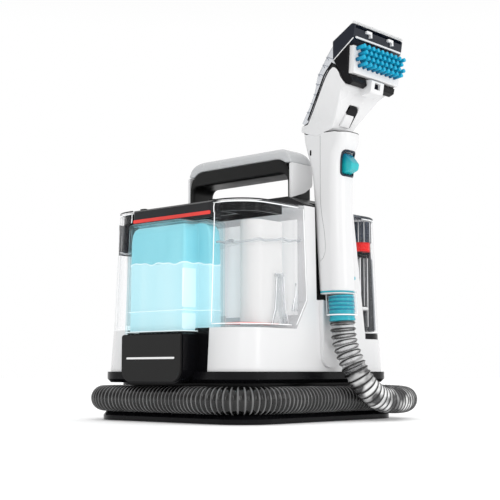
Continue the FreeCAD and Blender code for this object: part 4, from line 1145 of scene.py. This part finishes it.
def signed_distance(points, outline):
    """Distance of (u, v) points to a closed outline, positive inside."""
    outline = np.array(outline, float)
    nearest = np.full(len(points), 1e9)
    inside = np.zeros(len(points), bool)
    for a, b in zip(outline, np.roll(outline, -1, axis=0)):
        run = b - a
        t = np.clip(((points - a) @ run) / (run @ run), 0, 1)
        nearest = np.minimum(nearest, np.linalg.norm(points - (a + t[:, None] * run), axis=1))
        crosses = (a[1] > points[:, 1]) != (b[1] > points[:, 1])
        if a[1] != b[1]:
            meets = points[:, 0] < run[0] * (points[:, 1] - a[1]) / run[1] + a[0]
            inside ^= crosses & meets
    return np.where(inside, nearest, -nearest)


def head_material():
    """White housing whose flanks are black next to the seam, with a crisp moulded border."""
    material, tree, shader = new_material("head_two_tone")
    panel = add_node(tree, "Attribute", {}, attribute_name="panel").outputs["Fac"]
    white = two_tone(tree, noise(tree, 9.0), tuple(c * 0.99 for c in WHITE), WHITE)
    black = two_tone(tree, noise(tree, 12.0), (0.006, 0.006, 0.007), (0.012, 0.012, 0.013))
    wire(shader, {
        "Base Color": mixed(tree, spread(tree, panel, 0.0, 1.0, -0.1, 0.1), white, black),
        "Roughness": spread(tree, noise(tree, 55.0, 5.0), 0.22, 0.30),
        "Specular IOR Level": 0.35,
    })
    bump(tree, shader, noise(tree, 30.0, 1.0), 0.04, 0.001)
    return material


def make_head():
    """The head's softened housing; each point knows how far inside the black panel it lies."""
    head = smooth_copy("head_body", "head_housing", 0.7, 14)
    places = np.zeros(len(head.data.vertices) * 3, np.float32)
    head.data.vertices.foreach_get("co", places)
    places = places.reshape(-1, 3) / MM
    point_values(head, "panel", signed_distance(places[:, [0, 2]].astype(float), BLACK_PANEL))
    head.data.materials.append(head_material())
    stand_in(head, "white_gloss", "head", "head_housing")


def flank_half(z):
    """Half the head's width at a height: tapering from the straight top to the neck."""
    return np.interp(z, [325, 342, 396, 470], [19.0, 19.5, 47.0, 47.0])


def flank(x, z, side, out):
    """A place on the head's flank, moved out a little."""
    return (x, DOCK_Y - side * (flank_half(z) + out), z)


def cover_place(t):
    """Seam point and outer point (x, z) of the clear back cover, from its foot at 0 to the mouth at 1."""
    seam = np.array([104.4 + 56.6 * t, 350.4 + 58.2 * t])
    thick = np.interp(t, [0, 0.2, 0.45, 0.7, 0.85, 1.0], [6.5, 5.2, 5.4, 9.6, 12.0, 14.5])
    return seam, seam + thick * np.array([-0.717, 0.697])


def cover_point(seam, outer, share, side):
    """A place on the cover, from the seam at 0 to its outside at 1 and from flank to flank, -1 to 1."""
    x, z = seam + share * (outer - seam)
    return (x, DOCK_Y + side * (flank_half(z) - 0.6), z)


def make_cover():
    """Clear back cover: a thin shell over the suction passage, stepped by cross ribs."""
    places = [cover_place(t) for t in np.linspace(0, 1, 30)]
    places.insert(0, (np.array([97.6, 348.6]), np.array([95.4, 350.4])))
    places.append((np.array([161.0, 409.0]), np.array([156.6, 426.2])))
    places.append((np.array([161.0, 409.2]), np.array([160.9, 430.4])))
    verts, faces = loft_mesh([[cover_point(*place, *at) for at in COVER_SECTION] for place in places])
    cover = add_mesh("cover_shell", verts, faces, COVER_CLEAR)
    cover.data.set_sharp_from_angle(angle=math.radians(50))
    stand_in(cover, "smoke", "head", "nozzle_cover")
    across = ((0.45, -1), (0.9, -0.97), (1, -0.88), (1, 0.88), (0.9, 0.97), (0.45, 1))
    for i, t in enumerate((0.12, 0.27, 0.42, 0.57, 0.71, 0.85, 0.97)):
        line = [cover_point(*cover_place(t), *at) for at in across]
        bead("cover_rib_%d" % i, line, 0.6, COVER_CLEAR, "head", "smoke")


def make_head_details():
    """The lug's hole as a dark plate of painted shade, the lines along both flanks and the release tab's
    white tip.
    """
    hole = rectangle(DOCK_Y - 5.3, 379.3, DOCK_Y + 5.3, 386.3)
    # painted shade: a dark plate standing for the lug's hole
    prism_piece("lug_hole", hole, "x", 183.6, 186.2, "inner_dark", "head")
    mouth = [(160.6, 408.4), (168, 413.9), (176, 419.8), (184, 425.6), (190.4, 430.4)]
    seam = [(x, np.interp(x, [104.6, 161.0], [350.6, 408.2])) for x in np.linspace(106, 160, 14)]
    for side, tag in ((1, "l"), (-1, "r")):
        # the white line along the mouth's edge is a painted highlight; the cover's seam is dark
        bead("mouth_edge_" + tag, [flank(x, z, side, 0.05) for x, z in mouth], 0.55, "rule_white", "head")
        bead("cover_seam_" + tag, [flank(x, z, side, -0.1) for x, z in seam], 0.9, "black_gloss", "head")
    wedge = [(139.9, 341.6), (143.4, 341.6), (150.2, 352.8), (151.0, 356.8), (148.6, 355.8), (143.2, 347.6)]
    low, high = DOCK_Y - 9.6, DOCK_Y + 5.6
    prism_piece("release_insert", wedge, "y", low, high, "white_gloss", "head_release")


def make_lip_ridges():
    """Three strips of fine ridges across the top of the mouth's lip."""
    for strip in range(3):
        for i in range(20):
            y = DOCK_Y - 45 + strip * 31.33 + i * 1.43
            line = [(189.6, y, 449.74), (194.4, y, 448.3), (193.4, y, 446.4)]
            bead("lip_ridge_%d_%d" % (strip, i), line, 0.28, "pale_core", "head")


make_head()
make_cover()
make_head_details()
make_lip_ridges()


# ---- carry handle, with softly rounded edges
def make_handle():
    for node, material, slot in (
        ("handle_shell", MATERIALS["handle_white"], "handle_white"),
        ("handle_grip", GRIP, "black_matte"),
    ):
        piece = smooth_copy(node + "_soft", node, 1.0, 18)
        piece.data.materials.append(material)
        stand_in(piece, slot, "root", node)


make_handle()
